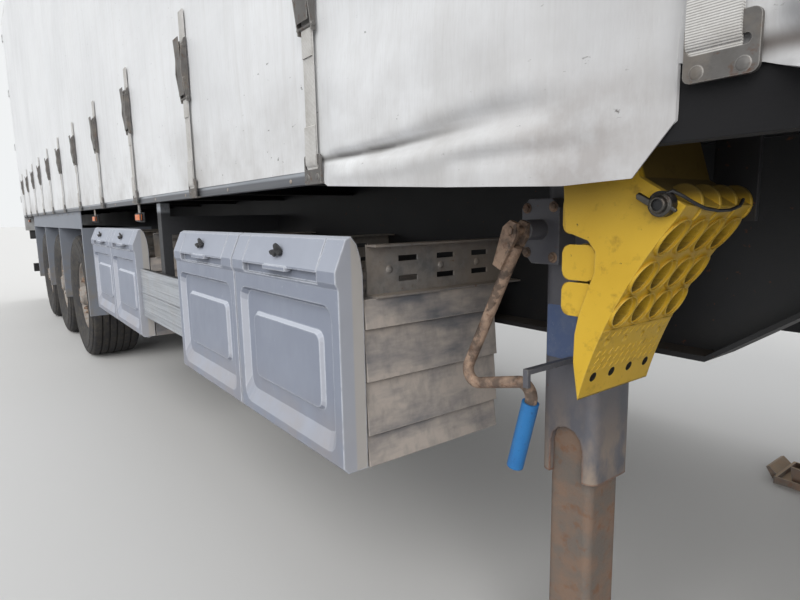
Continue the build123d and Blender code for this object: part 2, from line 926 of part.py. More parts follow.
# Crank: a fork on the gearbox's pin, a cranked rod and a loose grip on its end
crank_path = [
    (leg_x + dx, z)
    for dx, z in (
        # from the leg along X, height
        (crank_pin_dx, crank_pin_z - 30),
        (-192, 796),
        (16, 848),
        (-33, 660),
    )
]
fork = [
    (leg_x + dx, z)
    for dx, z in (
        (-20, crank_pin_z + 14),
        (-36, crank_pin_z + 20),
        (-54, crank_pin_z + 8),
        (-80, crank_pin_z - 66),
        (-60, crank_pin_z - 76),
        (-22, crank_pin_z - 12),
    )
]
with BuildPart() as crank:
    with BuildLine(Plane.XZ.offset(crank_y)):
        FilletPolyline(*crank_path, radius=crank_bend)
    start = crank_path[0]
    second = crank_path[1]
    along = (second[0] - start[0], 0, second[1] - start[1])
    with BuildSketch(Plane(origin=(start[0], -crank_y, start[1]), z_dir=along)):
        Circle(crank_r)
    sweep()
    side_plate(fork, -crank_y - 20, -crank_y - 11)
    side_plate(fork, -crank_y + 11, -crank_y + 19.5)
    rod_y(leg_x + crank_pin_dx, crank_pin_z, -crank_y - 24, -crank_y + 19.5, 9)
    side_plate(fork[3:5] + [(leg_x - 50, crank_pin_z - 44), (leg_x - 68, crank_pin_z - 36)], -crank_y - 20, -crank_y + 19.5)
keep(crank.part, "crank")

grip_from = crank_path[-1]
grip_before = crank_path[-2]
grip_dx = grip_before[0] - grip_from[0]
grip_dz = grip_before[1] - grip_from[1]
with BuildPart() as grip:
    with BuildSketch(Plane(origin=(grip_from[0], -crank_y, grip_from[1]), z_dir=(grip_dx, 0, grip_dz))):
        Circle(crank_grip_r)
        Circle(crank_r + 0.3, mode=Mode.SUBTRACT)
    extrude(amount=crank_grip_l)
keep(grip.part, "crank_grip")

# Axles with their spindles and two brake chambers each
chamber_y = beam_y - arm_w / 2 - hanger_plate_t - chamber_in
with BuildPart() as axles:
    for x in axle_xs:
        rod_y(x, axle_z, -axle_tube_y, axle_tube_y, axle_tube_r)
        rod_y(x, axle_z, -spindle_end_y, spindle_end_y, spindle_r)
        for side in (-1, 1):
            y = side * chamber_y
            chamber_x = x + axle_tube_r + 70
            rod_x(chamber_x, chamber_x + chamber_l, y, axle_z + 78, chamber_r)
            block((x - 12, chamber_x), (y - 42, y + 42), (axle_z + 10, axle_z + 92))
keep(axles.part, "axles")

# Tyres: many-sided rings with a flat on the ground, so that all six stay light
half_rim = rim_w / 2
tyre_sections = [
    # offset from the middle of the tyre, radius of the flats
    (half_rim, bead_r),
    (tyre_w / 2, 404),
    (tyre_w / 2 - 5, 468),
    (tyre_w / 2 - 24, tyre_r - 15),
    (tyre_w / 2 - 50, tyre_r),
]
flat_down = 180 / tyre_sides
sections = [(-d, r) for d, r in tyre_sections] + [(d, r) for d, r in reversed(tyre_sections)]
with BuildPart() as tyre:
    for offset, radius in sections:
        with BuildSketch(Plane.XZ.offset(-offset)):
            RegularPolygon(radius, tyre_sides, major_radius=False, rotation=flat_down)
    loft(ruled=True)
    with BuildSketch(Plane.XZ) as bore:
        RegularPolygon(bead_r, tyre_sides, major_radius=False, rotation=flat_down)
    extrude(bore.sketch, amount=rim_w, both=True, mode=Mode.SUBTRACT)

# Rims: barrel, disc with hand holes, hub and its cap, round the spindle's bore
barrel = [
    # y from the middle of the tyre, radius
    (half_rim, bead_r - bead_gap),
    (-half_rim, bead_r - bead_gap),
    (-half_rim, bead_r - rim_t),
    (disc_out - disc_t, bead_r - rim_t - 8),
    (disc_out - disc_t, hub_r),
    (hub_inner_y - tyre_mid_y, hub_r),
    (hub_inner_y - tyre_mid_y, spindle_r + spindle_clearance),
    (spindle_end_y + 2 - tyre_mid_y, spindle_r + spindle_clearance),
    (spindle_end_y + 2 - tyre_mid_y, 0),
    (disc_out + hub_cap_l, 0),
    (disc_out + hub_cap_l, hub_cap_r - 10),
    (disc_out + hub_cap_l - 10, hub_cap_r),
    (disc_out + 6, hub_cap_r + 14),
    (disc_out + 6, hub_r + 26),
    (disc_out - 4, bead_r - rim_t - 12),
    (half_rim, bead_r - rim_t),
]
with BuildPart() as rim:
    with BuildSketch(Plane.YZ):
        Polygon(*barrel, align=None)
    revolve(axis=Axis.Y)
    with BuildSketch(Plane.XZ.offset(-disc_out)) as holes:
        with PolarLocations(hand_hole_ring_r, hand_hole_count):
            Circle(hand_hole_r)
    extrude(holes.sketch, amount=disc_t * 2, both=True, mode=Mode.SUBTRACT)

for i, x in enumerate(axle_xs):
    for side, name in ((-1, "right"), (1, "left")):
        tag = name + "_" + str(i + 1)
        spot = Pos(x, side * tyre_mid_y, axle_z)
        one_rim = rim.part if side == 1 else mirror(rim.part, about=Plane.XZ)
        keep(spot * tyre.part, "tyre_" + tag)
        keep(spot * one_rim, "rim_" + tag)

# Suspension: hangers, trailing arms and air springs
with BuildPart() as hangers:
    for x in axle_xs:
        for side in (-1, 1):
            pivot_x = x + arm_pivot_ahead
            for end in (-1, 1):
                y0 = side * beam_y + end * arm_w / 2
                y1 = side * beam_y + end * (arm_w / 2 + hanger_plate_t)
                side_plate(
                    [
                        (pivot_x - 110, beam_bottom_z),
                        (pivot_x + 110, beam_bottom_z),
                        (pivot_x + 50, arm_pivot_z - 50),
                        (pivot_x - 50, arm_pivot_z - 50),
                    ],
                    y0,
                    y1,
                )
            pin_half = arm_w / 2 + hanger_plate_t
            rod_y(pivot_x, arm_pivot_z, side * beam_y - pin_half, side * beam_y + pin_half, arm_pin_r)
keep(hangers.part, "suspension_hangers")

arm_low_z = axle_z + axle_tube_r
with BuildPart() as arms:
    for x in axle_xs:
        for side in (-1, 1):
            y0 = side * beam_y - arm_w / 2
            y1 = side * beam_y + arm_w / 2
            side_plate(
                [
                    (x + arm_pivot_ahead + 40, arm_pivot_z - 40),
                    (x + arm_pivot_ahead + 40, arm_pivot_z + 40),
                    (x + 90, spring_seat_z + 35),
                    (x - 90, spring_seat_z + 35),
                    (x - 160, spring_seat_z),
                    (x - arm_tail, spring_seat_z),
                    (x - arm_tail, spring_seat_z - 40),
                    (x - 150, spring_seat_z - 40),
                    (x - 70, arm_low_z),
                    (x + 90, arm_low_z),
                ],
                y0,
                y1,
            )
            rod_y(x + arm_pivot_ahead, arm_pivot_z, y0, y1, arm_pin_r + 0.05, mode=Mode.SUBTRACT)
keep(arms.part, "trailing_arms")

with BuildPart() as springs:
    for x in axle_xs:
        for side in (-1, 1):
            rod_z(x - spring_behind, side * beam_y, spring_seat_z, beam_bottom_z, spring_r)
keep(springs.part, "air_springs")

# Mudguard housings: a band under the rave, a top sheet and a panel across before each wheel
guard_front_x = axle_xs[0] + guard_front_reach
guard_rear_x = axle_xs[-1] - guard_rear_reach
between_xs = [(a + b) / 2 for a, b in zip(axle_xs, axle_xs[1:])]
for side, name in ((-1, "right"), (1, "left")):
    with BuildPart() as guard:
        across = (side * guard_inner_y, side * guard_outer_y)
        low_z = guard_top_z - guard_band_h
        block((guard_rear_x, guard_front_x), across, (low_z, low_z + guard_t))
        edge = (side * (guard_outer_y - guard_t), side * guard_outer_y)
        block((guard_rear_x, guard_front_x), edge, (low_z, guard_top_z))
        for x in [guard_front_x - guard_t, guard_rear_x] + between_xs:
            block((x, x + guard_t), across, (guard_skirt_z, low_z))
            block((x - guard_lip + guard_t, x + guard_t), edge, (guard_skirt_z, low_z))
            block((x - guard_lip + guard_t, x + guard_t), across, (guard_skirt_z, guard_skirt_z + guard_t))
    keep(guard.part, "mudguard_" + name)

# Side marker lamps, each hung from the rave on a small plate
marker_xs = (
    rear_x + 900,
    guard_front_x + 670,
    box_front_xs[1] + 150,
    leg_x + 685,
    front_x - 500,
)
with BuildPart() as markers:
    for side in (-1, 1):
        for x in marker_xs:
            lamp_y = (side * (rave_outer_y - marker_t), side * rave_outer_y)
            top_z = rave_bottom_z - marker_drop
            block((x - marker_l / 2, x + marker_l / 2), lamp_y, (top_z - marker_h, top_z))
            plate_y = (side * (rave_outer_y - 14), side * (rave_outer_y - 10))
            block((x - 20, x + 20), plate_y, (top_z, rave_bottom_z))
keep(markers.part, "side_markers")

# Toolboxes: open tubs with coursed end walls and two hinge lugs, a hollow door on each
unit_lows = []
for front in box_front_xs:
    unit_lows.append(front - cheek_t - box_unit_w)
    unit_lows.append(front - cheek_t - box_unit_w - box_mid_gap - box_unit_w)
box_hinge_xs = (
    box_unit_w / 2 - box_hinge_from_middle,
    box_unit_w / 2 + box_hinge_from_middle,
)
course_edges = [box_bottom_z, *box_course_zs, box_top_z]
with BuildPart() as tub:
    front_end = []
    back_end = []
    for low_z, high_z in zip(course_edges, course_edges[1:]):
        front_end += [(box_unit_w, low_z), (box_unit_w - box_course_step, high_z)]
        back_end += [(0, low_z), (box_course_step, high_z)]
    side_plate(front_end + back_end[::-1], -box_outer_y, -box_inner_y)
    end_wall = box_wall + box_course_step
    block(
        (end_wall, box_unit_w - end_wall),
        (-box_outer_y - 1, -box_inner_y - box_wall),
        (box_bottom_z + box_wall, box_top_z - box_wall),
        mode=Mode.SUBTRACT,
    )
    for x in box_hinge_xs:
        block(
            (x - box_lug_w / 2, x + box_lug_w / 2),
            (-box_hinge_y - 6, -box_outer_y + 25),
            (box_hinge_z - 6, box_hinge_z + 6),
        )
        block(
            (x - box_lug_w / 2, x + box_lug_w / 2),
            (-box_outer_y, -box_outer_y + 25),
            (box_hinge_z - 6, box_bottom_z),
        )
        rod_x(x - 6, x + box_lug_w / 2 + box_knuckle_w + 2, -box_hinge_y, box_hinge_z, box_pin_r)
with BuildPart() as boxes:
    place(tub.part, *[(low, 0, 0) for low in unit_lows])
keep(boxes.part, "toolboxes")

# Door: a moulded shell with a sloped recess, a raised pad, and a lid that overhangs the face
door_back_y = box_outer_y + box_gap
lid_front_y = box_door_face_y + 7
door_profile = [
    # out from the middle, height
    (door_back_y, box_bottom_z),
    (box_door_face_y - 12, box_bottom_z),
    (box_door_face_y, box_bottom_z + 14),
    (box_door_face_y, 1006),
    (lid_front_y, 1020),
    (lid_front_y, 1046),
    (lid_front_y - 30, 1116),
    (lid_front_y - 44, 1123),
    (lid_front_y - 59, 1104),
    (door_back_y + 5, 1074),
    (door_back_y, 1034),
]
room_in = box_recess_t + box_door_skin + 1
door_room = [
    (door_back_y - 9, box_bottom_z + box_door_skin + 7),
    (box_door_face_y - room_in, box_bottom_z + box_door_skin + 7),
    (box_door_face_y - room_in, 1050),
    (box_door_face_y - 35, 1104),
    (box_door_face_y - 44, 1098),
    (box_door_face_y - 52, 1072),
    (box_door_face_y - 59, 1030),
    (door_back_y - 9, 1026),
]
door_w = box_unit_w - 2 * box_door_end_gap
lid_from_end = 85
latch_half = 67
face_plane = Plane.XZ.offset(box_door_face_y)
floor_plane = Plane.XZ.offset(box_door_face_y - box_recess_t)
pad_plane = Plane.XZ.offset(box_door_face_y - box_recess_t + box_pad_t)
recess_face = round_cornered((34, 612), (door_w - 34, 966), 36)
recess_floor = round_cornered((48, 652), (door_w - 48, 956), 36)
pad_foot = round_cornered((104, 696), (door_w - 104, 896), 22)
pad_face = round_cornered((111, 703), (door_w - 111, 889), 22)
with BuildPart() as shell_door:
    cross_profile([(-y, z) for y, z in door_profile], 0, door_w)
    cross_profile(
        [(-y, z) for y, z in door_room],
        box_door_skin,
        door_w - box_door_skin,
        mode=Mode.SUBTRACT,
    )
    for near, far, near_plane, far_plane, mode in (
        (recess_face, recess_floor, face_plane, floor_plane, Mode.SUBTRACT),
        (pad_foot, pad_face, floor_plane, pad_plane, Mode.ADD),
    ):
        with BuildSketch(near_plane) as first:
            Polygon(*near, align=None)
        with BuildSketch(far_plane) as last:
            Polygon(*far, align=None)
        loft([first.sketch.face(), last.sketch.face()], ruled=True, mode=mode)
    block(
        (lid_from_end, door_w - lid_from_end),
        (-lid_front_y - 1, -box_door_face_y + 10),
        (1014, 1040),
        mode=Mode.SUBTRACT,
    )
    for x in (lid_from_end - 3, door_w - lid_from_end - 2):
        block((x, x + 5), (-lid_front_y - 1, -lid_front_y + 34), (1040, 1130), mode=Mode.SUBTRACT)
        cross_profile(
            [(-lid_front_y - 1, 1041), (-lid_front_y + 6, 1041), (-lid_front_y + 35, 1108), (-lid_front_y + 35, 1110)],
            x,
            x + 5,
        )
    middle_x = door_w / 2
    block(
        (middle_x - latch_half, middle_x + latch_half),
        (-lid_front_y - 6, -lid_front_y + 12),
        (1032, 1044),
    )
    for x in box_hinge_xs:
        low_x = x - box_door_end_gap + box_lug_w / 2 + 1
        knuckle = (low_x, low_x + box_knuckle_w)
        block(knuckle, (-box_hinge_y - 9, -box_hinge_y + 8), (box_hinge_z, box_bottom_z))
        rod_x(*knuckle, -box_hinge_y, box_hinge_z, 9)
        rod_x(*knuckle, -box_hinge_y, box_hinge_z, box_pin_r + box_pin_play, mode=Mode.SUBTRACT)
for number, low in enumerate(unit_lows, 1):
    keep(Pos(low + box_door_end_gap, 0, 0) * shell_door.part, "toolbox_door_" + str(number))

# Channels that carry the boxes, with a row of slots in each web
slot_l = 60
slot_h = 14
pair_w = 2 * cheek_t + 2 * box_unit_w + box_mid_gap
with BuildPart() as one_channel:
    rail = channel_outline(0, box_top_z, box_top_z + channel_h, channel_w, channel_t)
    side_plate(rail, -web_outer_y, -channel_end_y)
    slot_pitch = (channel_end_y - web_outer_y) / 4
    for k in range(1, 4):
        for z in (box_top_z + channel_h * 0.3, box_top_z + channel_h * 0.7):
            y = -web_outer_y - k * slot_pitch
            block(
                (-1, channel_t + 1),
                (y - slot_l / 2, y + slot_l / 2),
                (z - slot_h / 2, z + slot_h / 2),
                mode=Mode.SUBTRACT,
            )
channel_spots = []
for front in box_front_xs:
    back = front - pair_w
    channel_spots.append((front - channel_end_gap - channel_w, 0, 0))
    channel_spots.append(((front + back - channel_w) / 2, 0, 0))
    channel_spots.append((back + channel_end_gap, 0, 0))
with BuildPart() as channels:
    place(one_channel.part, *channel_spots)
keep(channels.part, "box_channels")

# Side guards: two planks between the boxes on the right, three from leg to wheels on the left
plank_inner_y = plank_outer_y - plank_t
with BuildPart() as guard_right:
    plank_y = (-plank_outer_y, -plank_inner_y)
    span = (box_front_xs[1] + plank_end_gap, box_front_xs[0] - pair_w - plank_end_gap)
    for z in right_plank_zs:
        block(span, plank_y, (z, z + plank_h))
    mid_x = (span[0] + span[1]) / 2
    upright_x = (mid_x - upright_w / 2, mid_x + upright_w / 2)
    upright_y = (-plank_inner_y, -plank_inner_y + upright_t)
    block(upright_x, upright_y, (right_plank_zs[0], rave_bottom_z))
    block(upright_x, (-plank_inner_y, -web_outer_y), (guard_arm_low_z, guard_arm_high_z))
keep(guard_right.part, "side_guard_right")

with BuildPart() as guard_left:
    plank_y = (plank_inner_y, plank_outer_y)
    span = (guard_front_x + 60, leg_x - 200)
    for z in left_plank_zs:
        block(span, plank_y, (z, z + plank_h))
    upright_pitch = (span[1] - span[0] - 400) / (upright_count - 1)
    for x in [span[0] + 200 + i * upright_pitch for i in range(upright_count)]:
        upright_x = (x - upright_w / 2, x + upright_w / 2)
        block(upright_x, (plank_inner_y - upright_t, plank_inner_y), (left_plank_zs[0], guard_arm_high_z))
        block(upright_x, (web_outer_y, plank_inner_y), (guard_arm_low_z, guard_arm_high_z))
keep(guard_left.part, "side_guard_left")

# Air tanks across the frame, each on a bracket to the web at both ends
with BuildPart() as tanks:
    for i in range(tank_count):
        x = -i * tank_pitch
        rod_y(x, tank_z, -tank_half, tank_half, tank_r)
        for side in (-1, 1):
            block((x - 40, x + 40), (side * tank_half, side * web_inner_y), (tank_z - 50, tank_z + 50))
keep(tanks.part, "air_tanks")

# Wheel chock, nose down: two cheeks with a waist, round cells open on the hollowed face,
# cleats on the base, and a plain nose with a row of holes and a row of dents
base_edge = [
    # back from the base line, up from the tip
    (0, 391),
    (6, 315),
    (9, 265),
    (12, 247),
    (49, 235),
    (61, 220),
    (60, 189),
    (50, 165),
    (37, 127),
    (31, 98),
    (30, 56),
    (39, 0),
]
hollow_face = (
    # back from the base line, up from the tip: nose, middle and heel of the arc
    (39, 0),
    (104, 163),
    (176, 269),
)
heel = [(183, 280), (122, 318), (100, 391)]
cleats = (
    # bottom and top, up from the tip
    (124, 173),
    (177, 228),
    (244, 300),
)
cell_rows = (136, 186, 240)


def chock_point(point):
    """A point of the tables above in the row frame."""
    return chock_back_x + point[0], chock_tip_z + point[1]


with BuildPart() as chock:
    with BuildSketch(Plane.XZ.offset((chock_outer_y + chock_inner_y) / 2)) as side_view:
        with BuildLine():
            Polyline(*[chock_point(p) for p in base_edge])
            ThreePointArc(*[chock_point(p) for p in hollow_face])
            Polyline(*[chock_point(p) for p in [hollow_face[-1]] + heel + [base_edge[0]]])
        make_face()
    extrude(side_view.sketch, amount=chock_width / 2, both=True)
    for low, high in cleats:
        rounded = round_cornered((2, low), (90, high), 12, steps=2)
        side_plate([chock_point(p) for p in rounded], -chock_outer_y + 8, -chock_inner_y - 8)
    cell_back_x = chock_back_x + chock_back_wall + 2
    across = [
        -chock_outer_y + (i + 0.5) * chock_cell_pitch for i in range(chock_cells_across)
    ]
    with BuildSketch(Plane.YZ.offset(cell_back_x)) as cells:
        with Locations(*[(y, chock_tip_z + up) for y in across for up in cell_rows]):
            RegularPolygon(chock_cell_r, chock_cell_sides, major_radius=False)
    extrude(cells.sketch, amount=260, mode=Mode.SUBTRACT)
    with BuildSketch(Plane.YZ.offset(chock_back_x)) as nose_holes:
        with Locations(*[(y, chock_tip_z + 33) for y in across]):
            RegularPolygon(7, 10, major_radius=False)
    extrude(nose_holes.sketch, amount=100, mode=Mode.SUBTRACT)
    with BuildSketch(Plane.YZ.offset(chock_back_x + 66)) as dents:
        with Locations(*[(y, chock_tip_z + 88) for y in across]):
            RegularPolygon(6, 10, major_radius=False)
    extrude(dents.sketch, amount=60, mode=Mode.SUBTRACT)
    rod_at = chock_point((157, 283))
    rod_y(*rod_at, -chock_outer_y - 1, -chock_inner_y + 1, chock_rod_r + 0.3, mode=Mode.SUBTRACT)
keep(chock.part, "wheel_chock")

# Holder: a bar through the chock, a ring on its end, and a plate down from the floor
with BuildPart() as holder:
    rod_y(*rod_at, -chock_outer_y - 20, -chock_inner_y + chock_bracket_t, chock_rod_r)
    rod_y(*rod_at, -chock_outer_y - 12, -chock_outer_y - 0.3, 16)
    block(
        (rod_at[0] - 30, rod_at[0] + 30),
        (-chock_inner_y + 0.3, -chock_inner_y + 0.3 + chock_bracket_t),
        (rod_at[1] - 25, frame_top_z),
    )
keep(holder.part, "chock_holder")

os.makedirs("parts", exist_ok=True)
for part in made:
    export_step(part, "parts/" + part.label + ".step")
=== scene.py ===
"""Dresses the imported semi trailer: cloth, straps, tyres, small fittings and the finish of every node.

Metres, +X forward, +Y left, +Z up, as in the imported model. A side is -1 (right) or +1 (left).
"""

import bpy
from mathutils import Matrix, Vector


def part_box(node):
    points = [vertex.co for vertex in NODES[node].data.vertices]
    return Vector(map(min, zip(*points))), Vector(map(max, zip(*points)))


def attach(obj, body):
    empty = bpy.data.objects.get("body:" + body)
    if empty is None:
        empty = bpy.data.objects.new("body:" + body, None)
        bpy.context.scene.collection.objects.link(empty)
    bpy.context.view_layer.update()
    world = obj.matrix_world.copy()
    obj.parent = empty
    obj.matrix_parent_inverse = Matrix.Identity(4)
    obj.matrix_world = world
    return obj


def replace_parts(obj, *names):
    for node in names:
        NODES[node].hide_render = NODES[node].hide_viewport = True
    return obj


bl_info = {
    "name": "Semi trailer finishes",
    "version": (1, 0, 0),
    "blender": (4, 5, 0),
    "location": "3D View > Sidebar > Trailer",
    "description": "Cloth, fittings and procedural finishes of a curtain-sided semi trailer",
    "category": "Object",
}

from math import cos, exp, pi, radians, sin

import bmesh
import bpy
from bpy.props import FloatProperty, FloatVectorProperty, IntProperty, PointerProperty
from mathutils import Matrix, Vector, noise

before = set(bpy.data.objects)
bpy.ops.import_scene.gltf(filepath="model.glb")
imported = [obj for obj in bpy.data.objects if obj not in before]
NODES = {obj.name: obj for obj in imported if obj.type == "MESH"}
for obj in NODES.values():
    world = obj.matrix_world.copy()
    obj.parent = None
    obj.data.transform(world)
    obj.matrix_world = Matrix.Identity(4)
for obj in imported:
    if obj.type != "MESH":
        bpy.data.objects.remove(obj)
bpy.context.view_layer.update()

# Sign along Y and name
SIDES = ((-1, "right"), (1, "left"))
# Places and sizes of the part's source, in metres
LEG_X = 2.875
LEG_Y = 0.8625
BEAM_Y = 0.65
FOOT_PIN_Z = 0.078
AXLE_XS = (-1.95, -3.26, -4.57)
AXLE_Z = 0.525
TYRE_Y = 1.02
DOOR_LOWS = (1.894, 1.268, -0.076, -0.702)
FRONT_WALL_X = 6.8
DOOR_BACK_X = -6.8
CLOTH_Y = 1.2663
STRAP_Y = 1.2706
HEM_Z = 1.268
TOP_Z = 3.96
STRAP_PITCH = 0.85
STRAP_X = 2.456
STRAP_XS = [STRAP_X + k * STRAP_PITCH for k in range(-10, 5)]
RAISED_X = STRAP_X + STRAP_PITCH
CHOCK_TIP = (3.045, 0.892)
CHOCK_CELL_PITCH = 0.0475
CHOCK_ROWS = (0.136, 0.186, 0.240)
CHOCK_FACE_CENTRE = (0.71693, -0.17588)
CHOCK_FACE_R = 0.70037
LOOSE_HEM = (
    # along X, height
    (2.400, 1.268),
    (2.510, 1.231),
    (2.900, 1.209),
    (3.110, 1.200),
    (3.203, 1.204),
    (3.2475, 1.262),
    (3.2479, 1.320),
    (3.330, 1.304),
    (3.380, 1.284),
)


def linear(code):
    """The linear colour of an sRGB hex value, with full alpha."""
    shares = [int(code[i:i + 2], 16) / 255 for i in (0, 2, 4)]
    return tuple(s / 12.92 if s <= 0.04045 else ((s + 0.055) / 1.055) ** 2.4 for s in shares) + (1.0,)


def colour_choice(name, description, code):
    """A colour that a user can change, with its default as an sRGB hex value."""
    return FloatVectorProperty(
        name=name, description=description, default=linear(code)[:3], subtype="COLOR", min=0, max=1
    )


def tone_of(colour):
    """A colour with full alpha, from an sRGB hex value or from a setting."""
    return linear(colour) if isinstance(colour, str) else (*colour, 1.0)


def length_choice(name, description, metres, most):
    """A length that a user can change."""
    return FloatProperty(
        name=name, description=description, default=metres, min=0, max=most, unit="LENGTH", subtype="DISTANCE"
    )


def strength_choice(name, description, amount, most):
    """The strength of a light that a user can change."""
    return FloatProperty(name=name, description=description, default=amount, min=0, max=most)


class TrailerClothSettings(bpy.types.PropertyGroup):
    cloth_colour: colour_choice("Cloth", "Colour of the coated curtain cloth", "F0F2F4")
    grime_colour: colour_choice("Grime", "Colour of the dirt on the curtain", "8F8880")
    bulge: length_choice("Bulge", "How far the cloth stands out between two straps", 0.013, 0.03)
    thickness: length_choice("Thickness", "Thickness of the cloth", 0.002, 0.01)
    webbing_colour: colour_choice("Webbing", "Colour of the strap webbing", "DCDBD8")


class TrailerWheelSettings(bpy.types.PropertyGroup):
    rubber_colour: colour_choice("Rubber", "Colour of the tyre rubber", "2B2B2E")
    rim_colour: colour_choice("Rim", "Colour of the rim paint", "9C968F")
    groove_depth: length_choice("Groove depth", "Depth of the grooves round the tread", 0.011, 0.02)
    steps: IntProperty(name="Steps", description="Divisions round a tyre", default=96, min=24, max=192)


class TrailerBoxSettings(bpy.types.PropertyGroup):
    plastic_colour: colour_choice("Box plastic", "Colour of the toolbox doors", "8D94A4")
    tub_colour: colour_choice("Tub plastic", "Colour of the tubs behind the doors", "6E7076")
    dust_colour: colour_choice("Dust", "Colour of the road dust", "A4978A")


class TrailerLegSettings(bpy.types.PropertyGroup):
    paint_colour: colour_choice("Leg paint", "Colour of the landing legs", "5A5B62")
    grip_colour: colour_choice("Grip", "Colour of the crank's grip", "2F79B8")
    label_colour: colour_choice("Label", "Colour of the bare label", "52648A")
    chock_colour: colour_choice("Chock", "Colour of the wheel chock", "DCB433")


class TrailerBodySettings(bpy.types.PropertyGroup):
    frame_colour: colour_choice("Frame", "Colour of the chassis paint", "111215")
    body_colour: colour_choice("Body", "Colour of the front wall, doors and rear frame", "C9CBCC")
    guard_colour: colour_choice("Mudguard", "Colour of the mudguard housings", "80858F")


class TrailerStageSettings(bpy.types.PropertyGroup):
    floor_colour: colour_choice("Floor", "Colour of the plain floor", "DADAD9")
    bounce_colour: colour_choice("Floor bounce", "Colour of the light that the floor sends back", "77767A")
    sky_strength: strength_choice("Sky", "Strength of the soft light all round", 0.55, 3)
    key_strength: strength_choice("Key", "Strength of the large lamp", 2.4, 10)
    fill_strength: strength_choice("Fill", "Strength of the lamp opposite", 1.3, 10)


def add_node(tree, kind, inputs=None, **settings):
    """Adds a node, sets it up, and fills or links its inputs."""
    made = tree.nodes.new(kind)
    for name, value in settings.items():
        setattr(made, name, value)
    for socket, value in (inputs or {}).items():
        if isinstance(value, bpy.types.NodeSocket):
            tree.links.new(value, made.inputs[socket])
        else:
            made.inputs[socket].default_value = value
    return made


